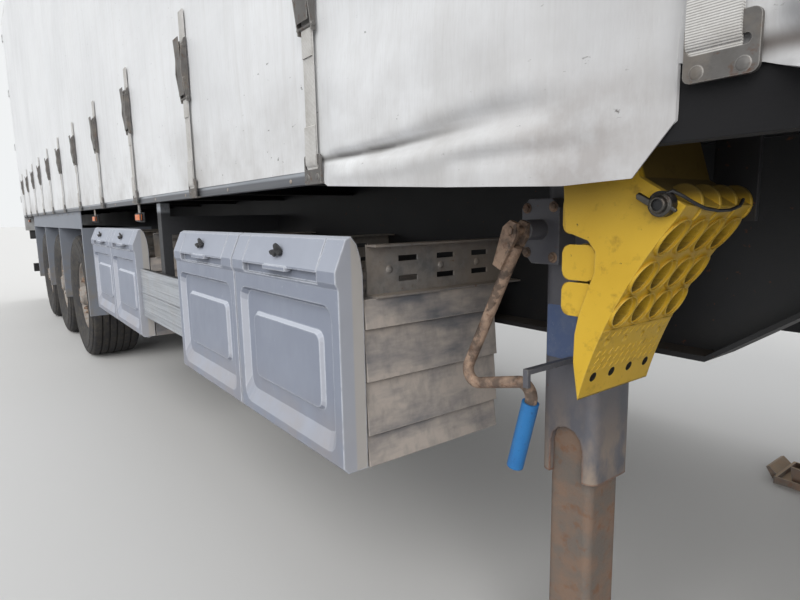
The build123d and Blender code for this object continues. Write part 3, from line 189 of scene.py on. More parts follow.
class Finish:
    """A material in the making: a ground coat, layers laid over it by masks, and relief."""

    def __init__(self, name, colour, roughness, metallic=0.0, edge_mm=0.0, ior=None):
        self.material = bpy.data.materials.new(name)
        self.material.use_nodes = True
        self.tree = self.material.node_tree
        self.shader = self.tree.nodes["Principled BSDF"]
        if ior:
            self.shader.inputs["IOR"].default_value = ior
        self.place = add_node(self.tree, "ShaderNodeTexCoord").outputs["Object"]
        self.tone = tone_of(colour)
        self.matt = roughness
        self.metal = metallic
        self.normal = None
        if edge_mm:
            rounded = add_node(self.tree, "ShaderNodeBevel", {"Radius": edge_mm / 1000}, samples=4)
            self.normal = rounded.outputs["Normal"]

    def mottle(self, size_mm, low, high, stretch=(1, 1, 1), detail=5, offset=0.0):
        """A mask of soft patches of about one size; stretch above 1 packs them closer on that axis."""
        scale = 1000 / size_mm
        scaled = add_node(
            self.tree,
            "ShaderNodeVectorMath",
            {0: self.place, 1: tuple(s * scale for s in stretch), 2: (offset, offset * 1.7, offset * 0.6)},
            operation="MULTIPLY_ADD",
        )
        field = add_node(
            self.tree,
            "ShaderNodeTexNoise",
            {"Vector": scaled.outputs[0], "Scale": 1.0, "Detail": detail, "Roughness": 0.6},
        )
        spread = add_node(
            self.tree,
            "ShaderNodeMapRange",
            {"Value": field.outputs["Fac"], "From Min": low, "From Max": high},
        )
        return spread.outputs["Result"]

    def height(self, full, none, axis="Z"):
        """A mask that is 1 at one place along an axis and falls to 0 at another, either way round."""
        parts = add_node(self.tree, "ShaderNodeSeparateXYZ", {0: self.place})
        start = 1.0 if full < none else 0.0
        fall = add_node(
            self.tree,
            "ShaderNodeMapRange",
            {
                "Value": parts.outputs[axis], "From Min": min(full, none), "From Max": max(full, none),
                "To Min": start, "To Max": 1.0 - start,
            },
            interpolation_type="SMOOTHSTEP",
        )
        return fall.outputs["Result"]

    def upward(self, low=0.3, high=0.95):
        """A mask of the faces that look up, where dust settles, and where the toolbox doors get a painted top
        light.
        """
        facing = add_node(self.tree, "ShaderNodeNewGeometry").outputs["Normal"]
        parts = add_node(self.tree, "ShaderNodeSeparateXYZ", {0: facing})
        rise = add_node(
            self.tree, "ShaderNodeMapRange", {"Value": parts.outputs["Z"], "From Min": low, "From Max": high}
        )
        return rise.outputs["Result"]

    def edges(self, radius_mm):
        """A mask of the sharp edges: the places where the rounded normal turns from the flat one."""
        low, high = 0.90, 0.995
        rounded = add_node(self.tree, "ShaderNodeBevel", {"Radius": radius_mm / 1000}, samples=6)
        flat = add_node(self.tree, "ShaderNodeNewGeometry").outputs["True Normal"]
        agree = add_node(
            self.tree,
            "ShaderNodeVectorMath",
            {0: rounded.outputs["Normal"], 1: flat},
            operation="DOT_PRODUCT",
        )
        sharp = add_node(
            self.tree,
            "ShaderNodeMapRange",
            {
                "Value": agree.outputs["Value"], "From Min": low, "From Max": high,
                "To Min": 1.0, "To Max": 0.0,
            },
        )
        return sharp.outputs["Result"]

    def worn(self, radius_mm, size_mm, low, high):
        """A mask of the sharp edges where they are worn, in patches of about one size."""
        return self.both(self.edges(radius_mm), self.mottle(size_mm, low, high))

    def hollows(self, reach_mm, low=0.25, high=0.75):
        """A mask of corners and hollows, where dirt gathers and where painted shade is laid."""
        open_share = add_node(
            self.tree, "ShaderNodeAmbientOcclusion", {"Distance": reach_mm / 1000}, samples=6, only_local=True
        ).outputs["AO"]
        shut = add_node(
            self.tree,
            "ShaderNodeMapRange",
            {"Value": open_share, "From Min": low, "From Max": high, "To Min": 1.0, "To Max": 0.0},
        )
        return shut.outputs["Result"]

    def facing(self, axis, low=0.75, high=0.95):
        """A mask of the faces that look along an axis, either way."""
        normal = add_node(self.tree, "ShaderNodeNewGeometry").outputs["Normal"]
        parts = add_node(self.tree, "ShaderNodeSeparateXYZ", {0: normal})
        size = add_node(self.tree, "ShaderNodeMath", {0: parts.outputs[axis]}, operation="ABSOLUTE")
        turned = add_node(
            self.tree, "ShaderNodeMapRange", {"Value": size.outputs[0], "From Min": low, "From Max": high}
        )
        return turned.outputs["Result"]

    def crease(self, height, bend, slope, reach, start, end):
        """A mask along a fold that is level up to a bend and slopes from there, fading out at both ends."""
        parts = add_node(self.tree, "ShaderNodeSeparateXYZ", {0: self.place}).outputs
        past = add_node(self.tree, "ShaderNodeMath", {0: parts["X"], 1: bend}, operation="SUBTRACT")
        climb = add_node(self.tree, "ShaderNodeMath", {0: past.outputs[0], 1: 0.0}, operation="MAXIMUM")
        line = add_node(
            self.tree, "ShaderNodeMath", {0: climb.outputs[0], 1: slope, 2: height}, operation="MULTIPLY_ADD"
        )
        off = add_node(self.tree, "ShaderNodeMath", {0: parts["Z"], 1: line.outputs[0]}, operation="SUBTRACT")
        apart = add_node(self.tree, "ShaderNodeMath", {0: off.outputs[0]}, operation="ABSOLUTE")
        beside = add_node(
            self.tree,
            "ShaderNodeMapRange",
            {"Value": apart.outputs[0], "From Min": 0.0, "From Max": reach, "To Min": 1.0, "To Max": 0.0},
            interpolation_type="SMOOTHSTEP",
        ).outputs["Result"]
        begun = self.height(start + 0.03, start, "X")
        faded = self.height(start + 0.4 * (end - start), end, "X")
        return self.both(beside, self.both(begun, faded))

    def both(self, one, other):
        """A mask of the places where two masks agree."""
        return add_node(
            self.tree, "ShaderNodeMath", {0: one, 1: other}, operation="MULTIPLY", use_clamp=True
        ).outputs[0]

    def lay(self, mask, colour, roughness, strength=1.0, metallic=None):
        """Lays a second finish over the first where the mask says."""
        share = self.both(mask, strength)
        self.tone = add_node(
            self.tree, "ShaderNodeMix", {0: share, 6: self.tone, 7: tone_of(colour)}, data_type="RGBA"
        ).outputs[2]
        self.matt = add_node(
            self.tree, "ShaderNodeMix", {0: share, 2: self.matt, 3: roughness}, data_type="FLOAT"
        ).outputs[0]
        if metallic is not None:
            self.metal = add_node(
                self.tree, "ShaderNodeMix", {0: share, 2: self.metal, 3: metallic}, data_type="FLOAT"
            ).outputs[0]

    def relief(self, mask, depth_mm):
        """Raises the surface where the mask says."""
        inputs = {"Height": mask, "Distance": depth_mm / 1000}
        if self.normal is not None:
            inputs["Normal"] = self.normal
        self.normal = add_node(self.tree, "ShaderNodeBump", inputs).outputs["Normal"]

    def grain(self, size_mm, depth_mm, low=0.35, high=0.7, **patches):
        """Raises soft patches of about one size."""
        self.relief(self.mottle(size_mm, low, high, **patches), depth_mm)

    def done(self):
        """Joins the layers to the shader and returns the material."""
        for name, value in (("Base Color", self.tone), ("Roughness", self.matt), ("Metallic", self.metal)):
            if isinstance(value, bpy.types.NodeSocket):
                self.tree.links.new(value, self.shader.inputs[name])
            else:
                self.shader.inputs[name].default_value = value
        if self.normal is not None:
            self.tree.links.new(self.normal, self.shader.inputs["Normal"])
        return self.material


def coated_cloth(look):
    """PVC-coated polyester, knife-coated: a smooth skin over a weave, with a soft sheen and rain streaks."""
    finish = Finish("PVC-coated polyester", look.cloth_colour, 0.36, ior=1.52)
    finish.lay(finish.mottle(900, 0.4, 0.7), "D8DADC", 0.42, 0.6)
    streaks = finish.mottle(38, 0.46, 0.72, stretch=(1, 1, 0.05), detail=6)
    finish.lay(streaks, "C4C2BE", 0.5, 0.2)
    threads = finish.mottle(4, 0.45, 0.7, stretch=(1, 1, 0.08), detail=2)
    finish.lay(threads, "C2C0BD", 0.5, 0.14)
    # grime above the hem, painted shade on the cloth ahead of the leg, and a brown patch on the loose corner
    low = finish.both(finish.height(1.25, 1.62), finish.mottle(230, 0.38, 0.66))
    finish.lay(low, look.grime_colour, 0.55, 0.42)
    near = finish.both(finish.height(3.2, 2.7, "X"), finish.height(1.45, 1.9))
    finish.lay(near, "B4B3B3", 0.45, 0.5)
    patch = finish.both(
        finish.both(finish.height(3.09, 2.98, "X"), finish.height(3.16, 3.3, "X")),
        finish.both(finish.height(1.26, 1.37), finish.mottle(70, 0.34, 0.6)),
    )
    finish.lay(patch, "7C6B60", 0.6, 0.36)
    # painted shade in the fold above the leg and in the gathers ahead of it
    finish.lay(finish.crease(1.288, 2.7, 0.04, 0.011, 2.44, 3.08), "4A4643", 0.7, 0.75)
    finish.lay(finish.crease(1.320, 3.34, -0.05, 0.018, 3.30, 3.9), "4E443D", 0.5, 0.85)
    scuffs = finish.mottle(26, 0.68, 0.73, stretch=(1, 1, 2.2), detail=9, offset=3.0)
    finish.lay(scuffs, "55514D", 0.6, 0.8)
    # the threads print through the coating; drawn 3 mm apart, coarser than real, so that they show
    finish.grain(3, 0.12, 0.3, stretch=(1, 1, 0.2), detail=1)
    finish.grain(160, 1.2, 0.3, stretch=(0.6, 1, 1.6), detail=2)
    return finish.done()


def strap_webbing(look):
    """Woven polyester webbing: ribs across the band catch the light, with painted shade between them."""
    finish = Finish("Woven polyester webbing", look.webbing_colour, 0.8)
    rib_mm = 2.6
    parts = add_node(finish.tree, "ShaderNodeSeparateXYZ", {0: finish.place})
    turns = add_node(
        finish.tree,
        "ShaderNodeMath",
        {0: parts.outputs["Z"], 1: 2 * pi * 1000 / rib_mm},
        operation="MULTIPLY",
    )
    wave = add_node(finish.tree, "ShaderNodeMath", {0: turns.outputs[0]}, operation="SINE").outputs[0]
    rib = add_node(
        finish.tree, "ShaderNodeMapRange", {"Value": wave, "From Min": -1.0, "From Max": 0.4}
    ).outputs["Result"]
    # painted shade in the gaps between the ribs
    rib_gap_shade = add_node(finish.tree, "ShaderNodeMath", {0: 1.0, 1: rib}, operation="SUBTRACT").outputs[0]
    finish.lay(rib_gap_shade, "A3A19D", 0.9, 0.6)
    finish.lay(finish.mottle(60, 0.42, 0.7), "A8A49C", 0.9, 0.5)
    finish.lay(finish.mottle(7, 0.5, 0.8), "EDEDEB", 0.7, 0.4)
    finish.relief(rib, 0.45)
    return finish.done()


def fitting_steel():
    """Zinc-plated steel, pressed: dull grey with bright worn edges and rust where the zinc has gone."""
    finish = Finish("Zinc-plated pressed steel", "6A6866", 0.5, 0.4, edge_mm=1.5)
    finish.lay(finish.mottle(30, 0.4, 0.7), "55524F", 0.6, 0.6)
    finish.lay(finish.mottle(14, 0.58, 0.68, detail=8, offset=2.0), "5E3F2A", 0.9, 0.7, metallic=0.0)
    finish.lay(finish.mottle(60, 0.5, 0.68, offset=5.0), "8F8374", 0.8, 0.4, metallic=0.0)
    finish.lay(finish.edges(1.5), "B5B2AE", 0.4, 0.5)
    finish.grain(4, 0.15)
    return finish.done()


def galvanised_steel(dust):
    """Hot-dip galvanised steel: a cloudy zinc skin under road dust, with spots of rust."""
    finish = Finish("Hot-dip galvanised steel", "9C9C9C", 0.5, 0.5, edge_mm=2.0)
    finish.lay(finish.mottle(22, 0.42, 0.6, detail=2), "7A7C7E", 0.5, 0.6)
    finish.lay(finish.mottle(180, 0.35, 0.62, offset=1.0), dust, 0.85, 0.8, metallic=0.05)
    finish.lay(finish.upward(), dust, 0.9, 0.7, metallic=0.0)
    finish.lay(finish.mottle(16, 0.66, 0.72, detail=8, offset=7.0), "7B4B2D", 0.9, 0.9, metallic=0.0)
    finish.grain(3, 0.08, 0.3)
    return finish.done()


def drawn_aluminium(dust):
    """Mill-finish aluminium, extruded: fine lines along its length, faded to a soft grey."""
    finish = Finish("Extruded aluminium", "B4B9C0", 0.36, 0.85, edge_mm=1.5)
    finish.lay(finish.mottle(9, 0.4, 0.7, stretch=(0.02, 1, 1), detail=3), "8F949B", 0.48, 0.7)
    finish.lay(finish.mottle(160, 0.5, 0.75), dust, 0.8, 0.3, metallic=0.1)
    finish.lay(finish.upward(), "B4B2AF", 0.6, 0.4, metallic=0.3)
    # painted shadow on the rave's upper strip, in the dark just under the hem
    hem_shadow = finish.both(finish.height(1.256, 1.264), finish.height(1.238, 1.234))
    finish.lay(hem_shadow, "4C4C50", 0.6, 0.75)
    # black paint on the guards' posts, and painted shade on the planks' inner faces in the gaps between
    # planks; both stand inside the planks' outer faces
    within = finish.both(finish.height(-1.231, -1.235, "Y"), finish.height(1.231, 1.235, "Y"))
    finish.lay(finish.both(within, finish.height(1.19, 1.21)), "1D1D20", 0.6, 0.95, metallic=0.0)
    # painted shadow, near black, on the rave ahead of the loose corner, where the hanging cloth shades it
    film = finish.both(finish.height(3.20, 3.10, "X"), finish.height(1.34, 1.36))
    finish.lay(film, "0E0E11", 0.95, 1.0, metallic=0.0)
    finish.grain(4, 0.08, stretch=(0.02, 1, 1))
    return finish.done()


def faded_box_plastic(look):
    """Polyethylene, rotationally moulded: matt and faintly grained, bleached on edges with a painted
    highlight there, dusty low down.
    """
    finish = Finish("Rotationally moulded polyethylene", look.plastic_colour, 0.5, edge_mm=5.0, ior=1.51)
    finish.lay(finish.mottle(420, 0.35, 0.65), "828999", 0.55, 0.6)
    finish.lay(finish.mottle(90, 0.45, 0.75, stretch=(1, 1, 0.5), offset=4.0), "9AA1B0", 0.46, 0.4)
    # painted top light: the faces that look up are painted paler
    finish.lay(finish.upward(0.15, 0.8), "CCD1DB", 0.6, 0.85)
    low = finish.both(finish.height(0.56, 0.78), finish.mottle(120, 0.35, 0.62))
    finish.lay(low, look.dust_colour, 0.8, 0.4)
    # painted light on the faces that look along X, which the lamps leave dim, so the ends of the doors are
    # pale; and dust on the ends behind the front edge
    ends = finish.both(finish.facing("X"), finish.height(-1.2165, -1.2225, "Y"))
    finish.lay(finish.facing("X", 0.5, 0.8), "C6C8CE", 0.6, 0.55)
    finish.lay(ends, "BDB8B1", 0.8, 0.8)
    # painted shade in the corners and recesses of the doors
    finish.lay(finish.hollows(30, 0.3, 0.8), "565962", 0.8, 0.55)
    # worn, bleached edges, painted bright also as a highlight on the rounded edges
    worn = finish.worn(7.0, 25, 0.25, 0.5)
    finish.lay(worn, "DADFE8", 0.5, 0.9)
    finish.lay(finish.mottle(18, 0.69, 0.74, stretch=(1.5, 1, 0.7), detail=9, offset=9.0), "C6CBD2", 0.5, 0.7)
    # a moulded grain of about 1.5 mm
    finish.grain(1.5, 0.05, 0.3, detail=2)
    finish.grain(90, 0.8, 0.3, detail=2)
    return finish.done()


def dusty_tub_plastic(look):
    """The same polyethylene on the tubs, out of the rain: a coat of beige dust with darker washed patches."""
    finish = Finish("Dusty moulded polyethylene", look.tub_colour, 0.6, edge_mm=3.0)
    finish.lay(finish.mottle(170, 0.3, 0.55, stretch=(1, 0.6, 2.0)), "C4B9AF", 0.85, 0.85)
    finish.lay(finish.mottle(35, 0.45, 0.7, stretch=(1, 1, 0.6), offset=2.0), "66686B", 0.7, 0.4)
    # painted shade in the hollows and under each step of the tubs
    finish.lay(finish.hollows(30), "363433", 0.9, 0.85)
    finish.lay(finish.worn(5.0, 25, 0.3, 0.5), "CFC6BC", 0.8, 0.6)
    finish.grain(2.5, 0.12, 0.3)
    return finish.done()


def chassis_paint(look):
    """Two-pack chassis paint: near-black satin under a film of dust, with spots of rust."""
    finish = Finish("Two-pack chassis paint", look.frame_colour, 0.48, edge_mm=2.0)
    finish.lay(finish.mottle(260, 0.4, 0.7), "1C1C20", 0.6, 0.5)
    finish.lay(finish.upward(), "5B534B", 0.9, 0.6)
    dusty = finish.both(finish.height(0.4, 1.2), finish.mottle(140, 0.42, 0.7, offset=3.0))
    finish.lay(dusty, "4A443D", 0.85, 0.4)
    finish.lay(finish.mottle(18, 0.66, 0.72, detail=8, offset=6.0), "6A3E26", 0.9, 0.8)
    finish.grain(5, 0.12)
    return finish.done()


def leg_enamel(look):
    """Stoving enamel on the leg tubes: soft grey sheen, dust and rust rising from the open foot."""
    finish = Finish("Stoving enamel, leg grey", look.paint_colour, 0.42, edge_mm=4.0)
    finish.lay(finish.mottle(140, 0.4, 0.68), "707076", 0.5, 0.6)
    low = finish.both(finish.height(0.6, 0.86), finish.mottle(50, 0.34, 0.58, stretch=(1, 1, 0.5)))
    finish.lay(low, "A39383", 0.8, 0.8)
    rim = finish.both(finish.edges(9.0), finish.height(0.6, 0.76))
    finish.lay(rim, "8A5B3D", 0.9, 0.9)
    finish.lay(finish.worn(5.0, 14, 0.42, 0.6), "8C8A88", 0.5, 0.6)
    finish.lay(finish.mottle(16, 0.67, 0.73, detail=8, offset=6.0), "7A4A2C", 0.9, 0.8)
    finish.grain(5, 0.15)
    return finish.done()


def rusty_casting():
    """Pressed steel that meets the road: paint gone to rust and tan mud, grey where stones polish it."""
    finish = Finish("Road-worn pressed steel", "746C65", 0.7, 0.15, edge_mm=4.0)
    finish.lay(finish.mottle(60, 0.38, 0.6), "8A715F", 0.9, 0.75, metallic=0.0)
    finish.lay(finish.mottle(26, 0.54, 0.68, detail=8, offset=3.0), "80532F", 0.92, 0.5, metallic=0.0)
    finish.lay(finish.upward(0.5, 0.95), "B09A80", 0.95, 0.9, metallic=0.0)
    finish.lay(finish.hollows(25), "4A3526", 0.95, 0.5, metallic=0.0)
    finish.lay(finish.worn(5.0, 20, 0.36, 0.55), "8E8C8A", 0.5, 0.7, metallic=0.4)
    finish.grain(7, 0.7, 0.3, detail=8)
    return finish.done()


def crank_steel():
    """Drawn round bar, hand-worn: brown rust under beige dust, darker where hands and chains rub."""
    finish = Finish("Rusty drawn bar", "6F6056", 0.75, 0.2, edge_mm=1.5)
    finish.lay(finish.mottle(45, 0.38, 0.56), "B89D88", 0.9, 0.85, metallic=0.0)
    finish.lay(finish.mottle(13, 0.54, 0.68, detail=8, offset=2.0), "6B4A36", 0.9, 0.6, metallic=0.0)
    finish.lay(finish.mottle(38, 0.54, 0.60, detail=7, offset=5.0), "35312F", 0.6, 0.65, metallic=0.2)
    finish.grain(5, 0.5, 0.3, detail=8)
    return finish.done()


def grip_vinyl(look):
    """Dipped vinyl sleeve: saturated and slightly glossy, darkened and greyed in patches."""
    finish = Finish("Dipped vinyl", look.grip_colour, 0.38, edge_mm=2.0)
    finish.lay(finish.mottle(30, 0.45, 0.7, stretch=(1, 1, 0.5)), "2463A6", 0.5, 0.6)
    finish.lay(finish.mottle(12, 0.6, 0.7, detail=8), "2A4A6C", 0.6, 0.5)
    finish.grain(3, 0.1)
    return finish.done()


def chock_plastic(look):
    """Polyethylene, blow-moulded: strong yellow with dirt and painted shade in the hollows and scrapes on the
    ribs.
    """
    finish = Finish("Blow-moulded polyethylene", look.chock_colour, 0.42, edge_mm=2.5, ior=1.51)
    finish.lay(finish.mottle(130, 0.4, 0.7), "CDA427", 0.5, 0.6)
    finish.lay(finish.mottle(22, 0.56, 0.7, detail=8, offset=2.0), "8E6A1B", 0.6, 0.5)
    finish.lay(finish.upward(), "9C8A55", 0.8, 0.4)
    # dirt and painted shade in the hollows
    finish.lay(finish.hollows(45, 0.15, 0.65), "3A2B0C", 0.8, 0.93)
    finish.lay(finish.worn(3.5, 16, 0.36, 0.55), "E6C45A", 0.5, 0.6)
    finish.lay(finish.mottle(9, 0.68, 0.73, detail=9, offset=8.0), "3B3223", 0.8, 0.9)
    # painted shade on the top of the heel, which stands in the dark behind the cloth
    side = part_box("wheel_chock")[0].y
    heel_shade = finish.both(finish.height(1.194, 1.172), finish.height(3.15, 3.13, "X"))
    finish.lay(finish.both(heel_shade, finish.height(side + 0.016, side + 0.008, "Y")), "171206", 0.9, 0.85)
    # painted shade in the row of holes through the nose, one for each column of cells: each is painted near
    # black for the dark inside
    half = CHOCK_CELL_PITCH / 2
    row_z = CHOCK_TIP[1] + 0.033
    parts = add_node(finish.tree, "ShaderNodeSeparateXYZ", {0: finish.place}).outputs
    across = add_node(finish.tree, "ShaderNodeMath", {0: parts["Y"], 1: -side - half}, operation="ADD")
    nearest = add_node(
        finish.tree, "ShaderNodeMath", {0: across.outputs[0], 1: half, 2: -half}, operation="WRAP"
    )
    over = add_node(finish.tree, "ShaderNodeMath", {0: parts["Z"], 1: row_z}, operation="SUBTRACT")
    flat = add_node(finish.tree, "ShaderNodeCombineXYZ", {0: nearest.outputs[0], 1: over.outputs[0]})
    away = add_node(finish.tree, "ShaderNodeVectorMath", {0: flat.outputs[0]}, operation="LENGTH")
    hole = add_node(
        finish.tree,
        "ShaderNodeMapRange",
        {
            "Value": away.outputs["Value"], "From Min": 0.0073, "From Max": 0.0078,
            "To Min": 1.0, "To Max": 0.0,
        },
    )
    finish.lay(hole.outputs["Result"], "0B0905", 0.9, 1.0)
    finish.grain(4, 0.12)
    return finish.done()


def tyre_rubber(look):
    """Vulcanised rubber: matt black, greyed and browned by dust in soft patches."""
    finish = Finish("Vulcanised tyre rubber", look.rubber_colour, 0.82, ior=1.52)
    finish.lay(finish.mottle(90, 0.38, 0.66), "47443F", 0.9, 0.7)
    finish.lay(finish.mottle(30, 0.5, 0.7, offset=3.0), "5E574D", 0.95, 0.55)
    # fine cuts across the ribs, 6 mm apart
    finish.grain(6, 0.5, 0.4, 0.6, stretch=(1, 0.2, 1), detail=2)
    return finish.done()


def rim_enamel(look):
    """Steel rim in silver-grey enamel: brake dust, and rust in spots and on worn edges."""
    finish = Finish("Enamelled steel rim", look.rim_colour, 0.5, 0.1, edge_mm=3.0)
    finish.lay(finish.mottle(110, 0.36, 0.62), "827C77", 0.75, 0.8, metallic=0.0)
    finish.lay(finish.mottle(34, 0.56, 0.68, detail=8, offset=4.0), "7F5A42", 0.9, 0.6, metallic=0.0)
    finish.lay(finish.worn(7.0, 40, 0.4, 0.6), "75503A", 0.9, 0.5, metallic=0.0)
    finish.grain(6, 0.25)
    return finish.done()


def guard_plastic(look):
    """Polypropylene, vacuum-formed: light blue-grey, chalky, splashed with road dirt from below."""
    finish = Finish("Vacuum-formed polypropylene", look.guard_colour, 0.55, edge_mm=3.0)
    finish.lay(finish.mottle(300, 0.38, 0.66), "7E858F", 0.62, 0.6)
    low = finish.both(finish.height(0.45, 1.1), finish.mottle(90, 0.4, 0.66, offset=2.0))
    finish.lay(low, "8C8376", 0.85, 0.7)
    finish.lay(finish.worn(4.0, 40, 0.3, 0.55), "B4BAC2", 0.55, 0.6)
    finish.grain(5, 0.15)
    return finish.done()


def film_faced_ply():
    """Film-faced birch plywood: a brown phenolic film with a wire print and pale worn tracks."""
    finish = Finish("Film-faced plywood", "4A3626", 0.55)
    finish.lay(finish.mottle(45, 0.4, 0.66, stretch=(0.15, 1, 1)), "5D4632", 0.65, 0.7)
    finish.lay(finish.mottle(260, 0.5, 0.7, stretch=(0.3, 1, 1), offset=2.0), "85705A", 0.8, 0.6)
    finish.grain(3, 0.3, 0.4, 0.6, detail=1)
    return finish.done()


def body_powder_coat(look):
    """Powder-coated steel: a light grey skin with faint orange peel, rain streaks and rusty edges."""
    finish = Finish("Powder-coated steel", look.body_colour, 0.35, edge_mm=3.0)
    finish.lay(finish.mottle(600, 0.4, 0.7), "B5B8BA", 0.42, 0.6)
    finish.lay(finish.mottle(40, 0.5, 0.74, stretch=(1, 1, 0.05), detail=6), "A5A29D", 0.6, 0.3)
    finish.lay(finish.both(finish.height(1.0, 1.9), finish.mottle(110, 0.4, 0.66)), "8B8278", 0.75, 0.5)
    finish.lay(finish.worn(4.0, 20, 0.5, 0.66), "6E4A33", 0.8, 0.6)
    finish.grain(8, 0.1, 0.3, detail=2)
    return finish.done()


def roof_laminate():
    """Glass-fibre laminate: milky and matt, fibres just visible, greyed by rain and leaves."""
    finish = Finish("Glass-fibre laminate", "C9CAC6", 0.8)
    finish.lay(finish.mottle(700, 0.4, 0.7), "B0B0A8", 0.85, 0.6)
    finish.lay(finish.mottle(60, 0.55, 0.72, offset=3.0), "8E8B7C", 0.9, 0.5)
    finish.grain(12, 0.2, 0.3)
    return finish.done()


def bellows_rubber():
    """Moulded air-spring rubber: black and smooth, with a grey bloom and dust on top of each lobe."""
    finish = Finish("Moulded spring rubber", "1E1E20", 0.6)
    finish.lay(finish.mottle(70, 0.4, 0.66), "3B3936", 0.75, 0.7)
    finish.lay(finish.upward(), "6A6157", 0.95, 0.6)
    finish.grain(5, 0.2)
    return finish.done()


def lens_acrylic(name, colour, deep):
    """Moulded acrylic lens: clear gloss over small prisms, deep in colour between them."""
    finish = Finish(name, colour, 0.35, ior=1.49)
    finish.lay(finish.mottle(9, 0.42, 0.6, detail=1), deep, 0.35, 0.6)
    finish.lay(finish.mottle(80, 0.5, 0.75, offset=2.0), "8C8073", 0.7, 0.2)
    finish.grain(9, 0.8, 0.3, detail=1)
    return finish.done()


def coupling_enamel(name, colour):
    """Enamelled die casting: a strong colour code, chipped to grey metal on its edges."""
    finish = Finish(name, colour, 0.35, edge_mm=1.5)
    finish.lay(finish.mottle(25, 0.45, 0.68), "5E5650", 0.7, 0.5)
    finish.lay(finish.worn(2.0, 8, 0.4, 0.6), "8E8C8A", 0.45, 0.8, metallic=0.6)
    finish.grain(3, 0.08)
    return finish.done()


def black_plastic():
    """Glass-filled nylon, injection-moulded: black and matt with a fine grain and dust."""
    finish = Finish("Moulded black nylon", "232427", 0.55, edge_mm=1.5)
    finish.lay(finish.mottle(40, 0.42, 0.68), "3F3E3D", 0.7, 0.7)
    finish.grain(1.5, 0.06, 0.3)
    return finish.done()


def greased_steel():
    """Turned alloy steel under old grease: dark, glossy in patches, with grit stuck in it."""
    finish = Finish("Greased turned steel", "55534F", 0.3, 0.9, edge_mm=2.0)
    finish.lay(finish.mottle(30, 0.4, 0.62), "23201D", 0.25, 0.85, metallic=0.2)
    finish.lay(finish.mottle(60, 0.55, 0.7, offset=2.0), "6D4D36", 0.8, 0.6, metallic=0.1)
    finish.grain(5, 0.3)
    return finish.done()


def label_vinyl(look):
    """Vinyl film, left bare: a greyed blue, faded in patches and scratched."""
    finish = Finish("Vinyl label film", look.label_colour, 0.4, edge_mm=1.0)
    finish.lay(finish.mottle(30, 0.45, 0.7), "6E7A92", 0.5, 0.6)
    finish.lay(finish.mottle(8, 0.62, 0.7, detail=8, offset=2.0), "8E9AA8", 0.6, 0.7)
    finish.grain(6, 0.1)
    return finish.done()


def add_block(bm, corner, opposite, edge, material=0):
    """A block between two opposite corners, its edges rounded off in two steps."""
    low = Vector(min(pair) for pair in zip(corner, opposite))
    size = Vector(max(pair) for pair in zip(corner, opposite)) - low
    verts = bmesh.ops.create_cube(bm, size=1.0)["verts"]
    for vert in verts:
        vert.co = Vector(low[i] + (vert.co[i] + 0.5) * size[i] for i in range(3))
    for face in {face for vert in verts for face in vert.link_faces}:
        face.material_index = material
    rim = list({e for vert in verts for e in vert.link_edges})
    bmesh.ops.bevel(bm, geom=rim, offset=edge, segments=2, profile=0.5, affect="EDGES")


def place_on(axis, a, b, along):
    """A point from its place across an axis and its place along it."""
    return {"X": (along, a, b), "Y": (a, along, b), "Z": (a, b, along)}[axis]


def ring_of_points(radius, count, turn=0.0, middle=(0.0, 0.0)):
    """Points spaced evenly on a circle, each with its angle."""
    points = []
    for k in range(count):
        angle = turn + 2 * pi * k / count
        points.append((middle[0] + radius * cos(angle), middle[1] + radius * sin(angle), angle))
    return points


def hexagon(radius, turn, middle):
    """The outline of a nut."""
    return [(a, b) for a, b, _ in ring_of_points(radius, 6, turn, middle)]


def box_outline(low, high):
    """The outline of a rectangle between two corners."""
    return [low, (high[0], low[1]), high, (low[0], high[1])]


def rounded_corners(middle, size, radius):
    """The outline of a rectangle with round corners."""
    steps = 5
    outline = []
    for k in range(4):
        turn = k * pi / 2
        at = (
            middle[0] + (size[0] / 2 - radius) * (1, -1, -1, 1)[k],
            middle[1] + (size[1] / 2 - radius) * (1, 1, -1, -1)[k],
        )
        for i in range(steps + 1):
            bow = turn + i * pi / 2 / steps
            outline.append((at[0] + radius * cos(bow), at[1] + radius * sin(bow)))
    return outline


def join_rings(bm, rings, material=0):
    """Faces between each ring of points and the next."""
    for first, second in zip(rings, rings[1:]):
        for i in range(len(first)):
            j = (i + 1) % len(first)
            bm.faces.new((first[i], first[j], second[j], second[i])).material_index = material


def add_prism(bm, outline, axis, start, end, edge=0.0):
    """An outline of points across an axis, drawn out along it."""
    near = [bm.verts.new(place_on(axis, a, b, start)) for a, b in outline]
    far = [bm.verts.new(place_on(axis, a, b, end)) for a, b in outline]
    ends = [bm.faces.new(near), bm.faces.new(far[::-1])]
    join_rings(bm, [far, near])
    if edge:
        rim = list({e for face in ends for e in face.edges})
        bmesh.ops.bevel(bm, geom=rim, offset=edge, segments=1, profile=0.5, affect="EDGES")


def add_ringed_plate(bm, outline, hole, start, end):
    """A plate across Y with one hole; outline and hole have as many points."""
    rings = [
        [bm.verts.new((a, y, b)) for a, b in ring]
        for ring, y in ((outline, start), (outline, end), (hole, end), (hole, start))
    ]
    join_rings(bm, rings + rings[:1])


def add_lathe(bm, profile, centre, axis, steps, material=0, sign=1):
    """A profile of (along, radius) points turned round an axis through a centre."""
    # a point on the axis is kept this far off it, so that its ring has a size
    smallest = 0.0001
    rings = []
    for along, radius in profile:
        rings.append([
            bm.verts.new(Vector(centre) + Vector(place_on(axis, a, b, sign * along)))
            for a, b, _ in ring_of_points(max(radius, smallest), steps)
        ])
    join_rings(bm, rings, material)


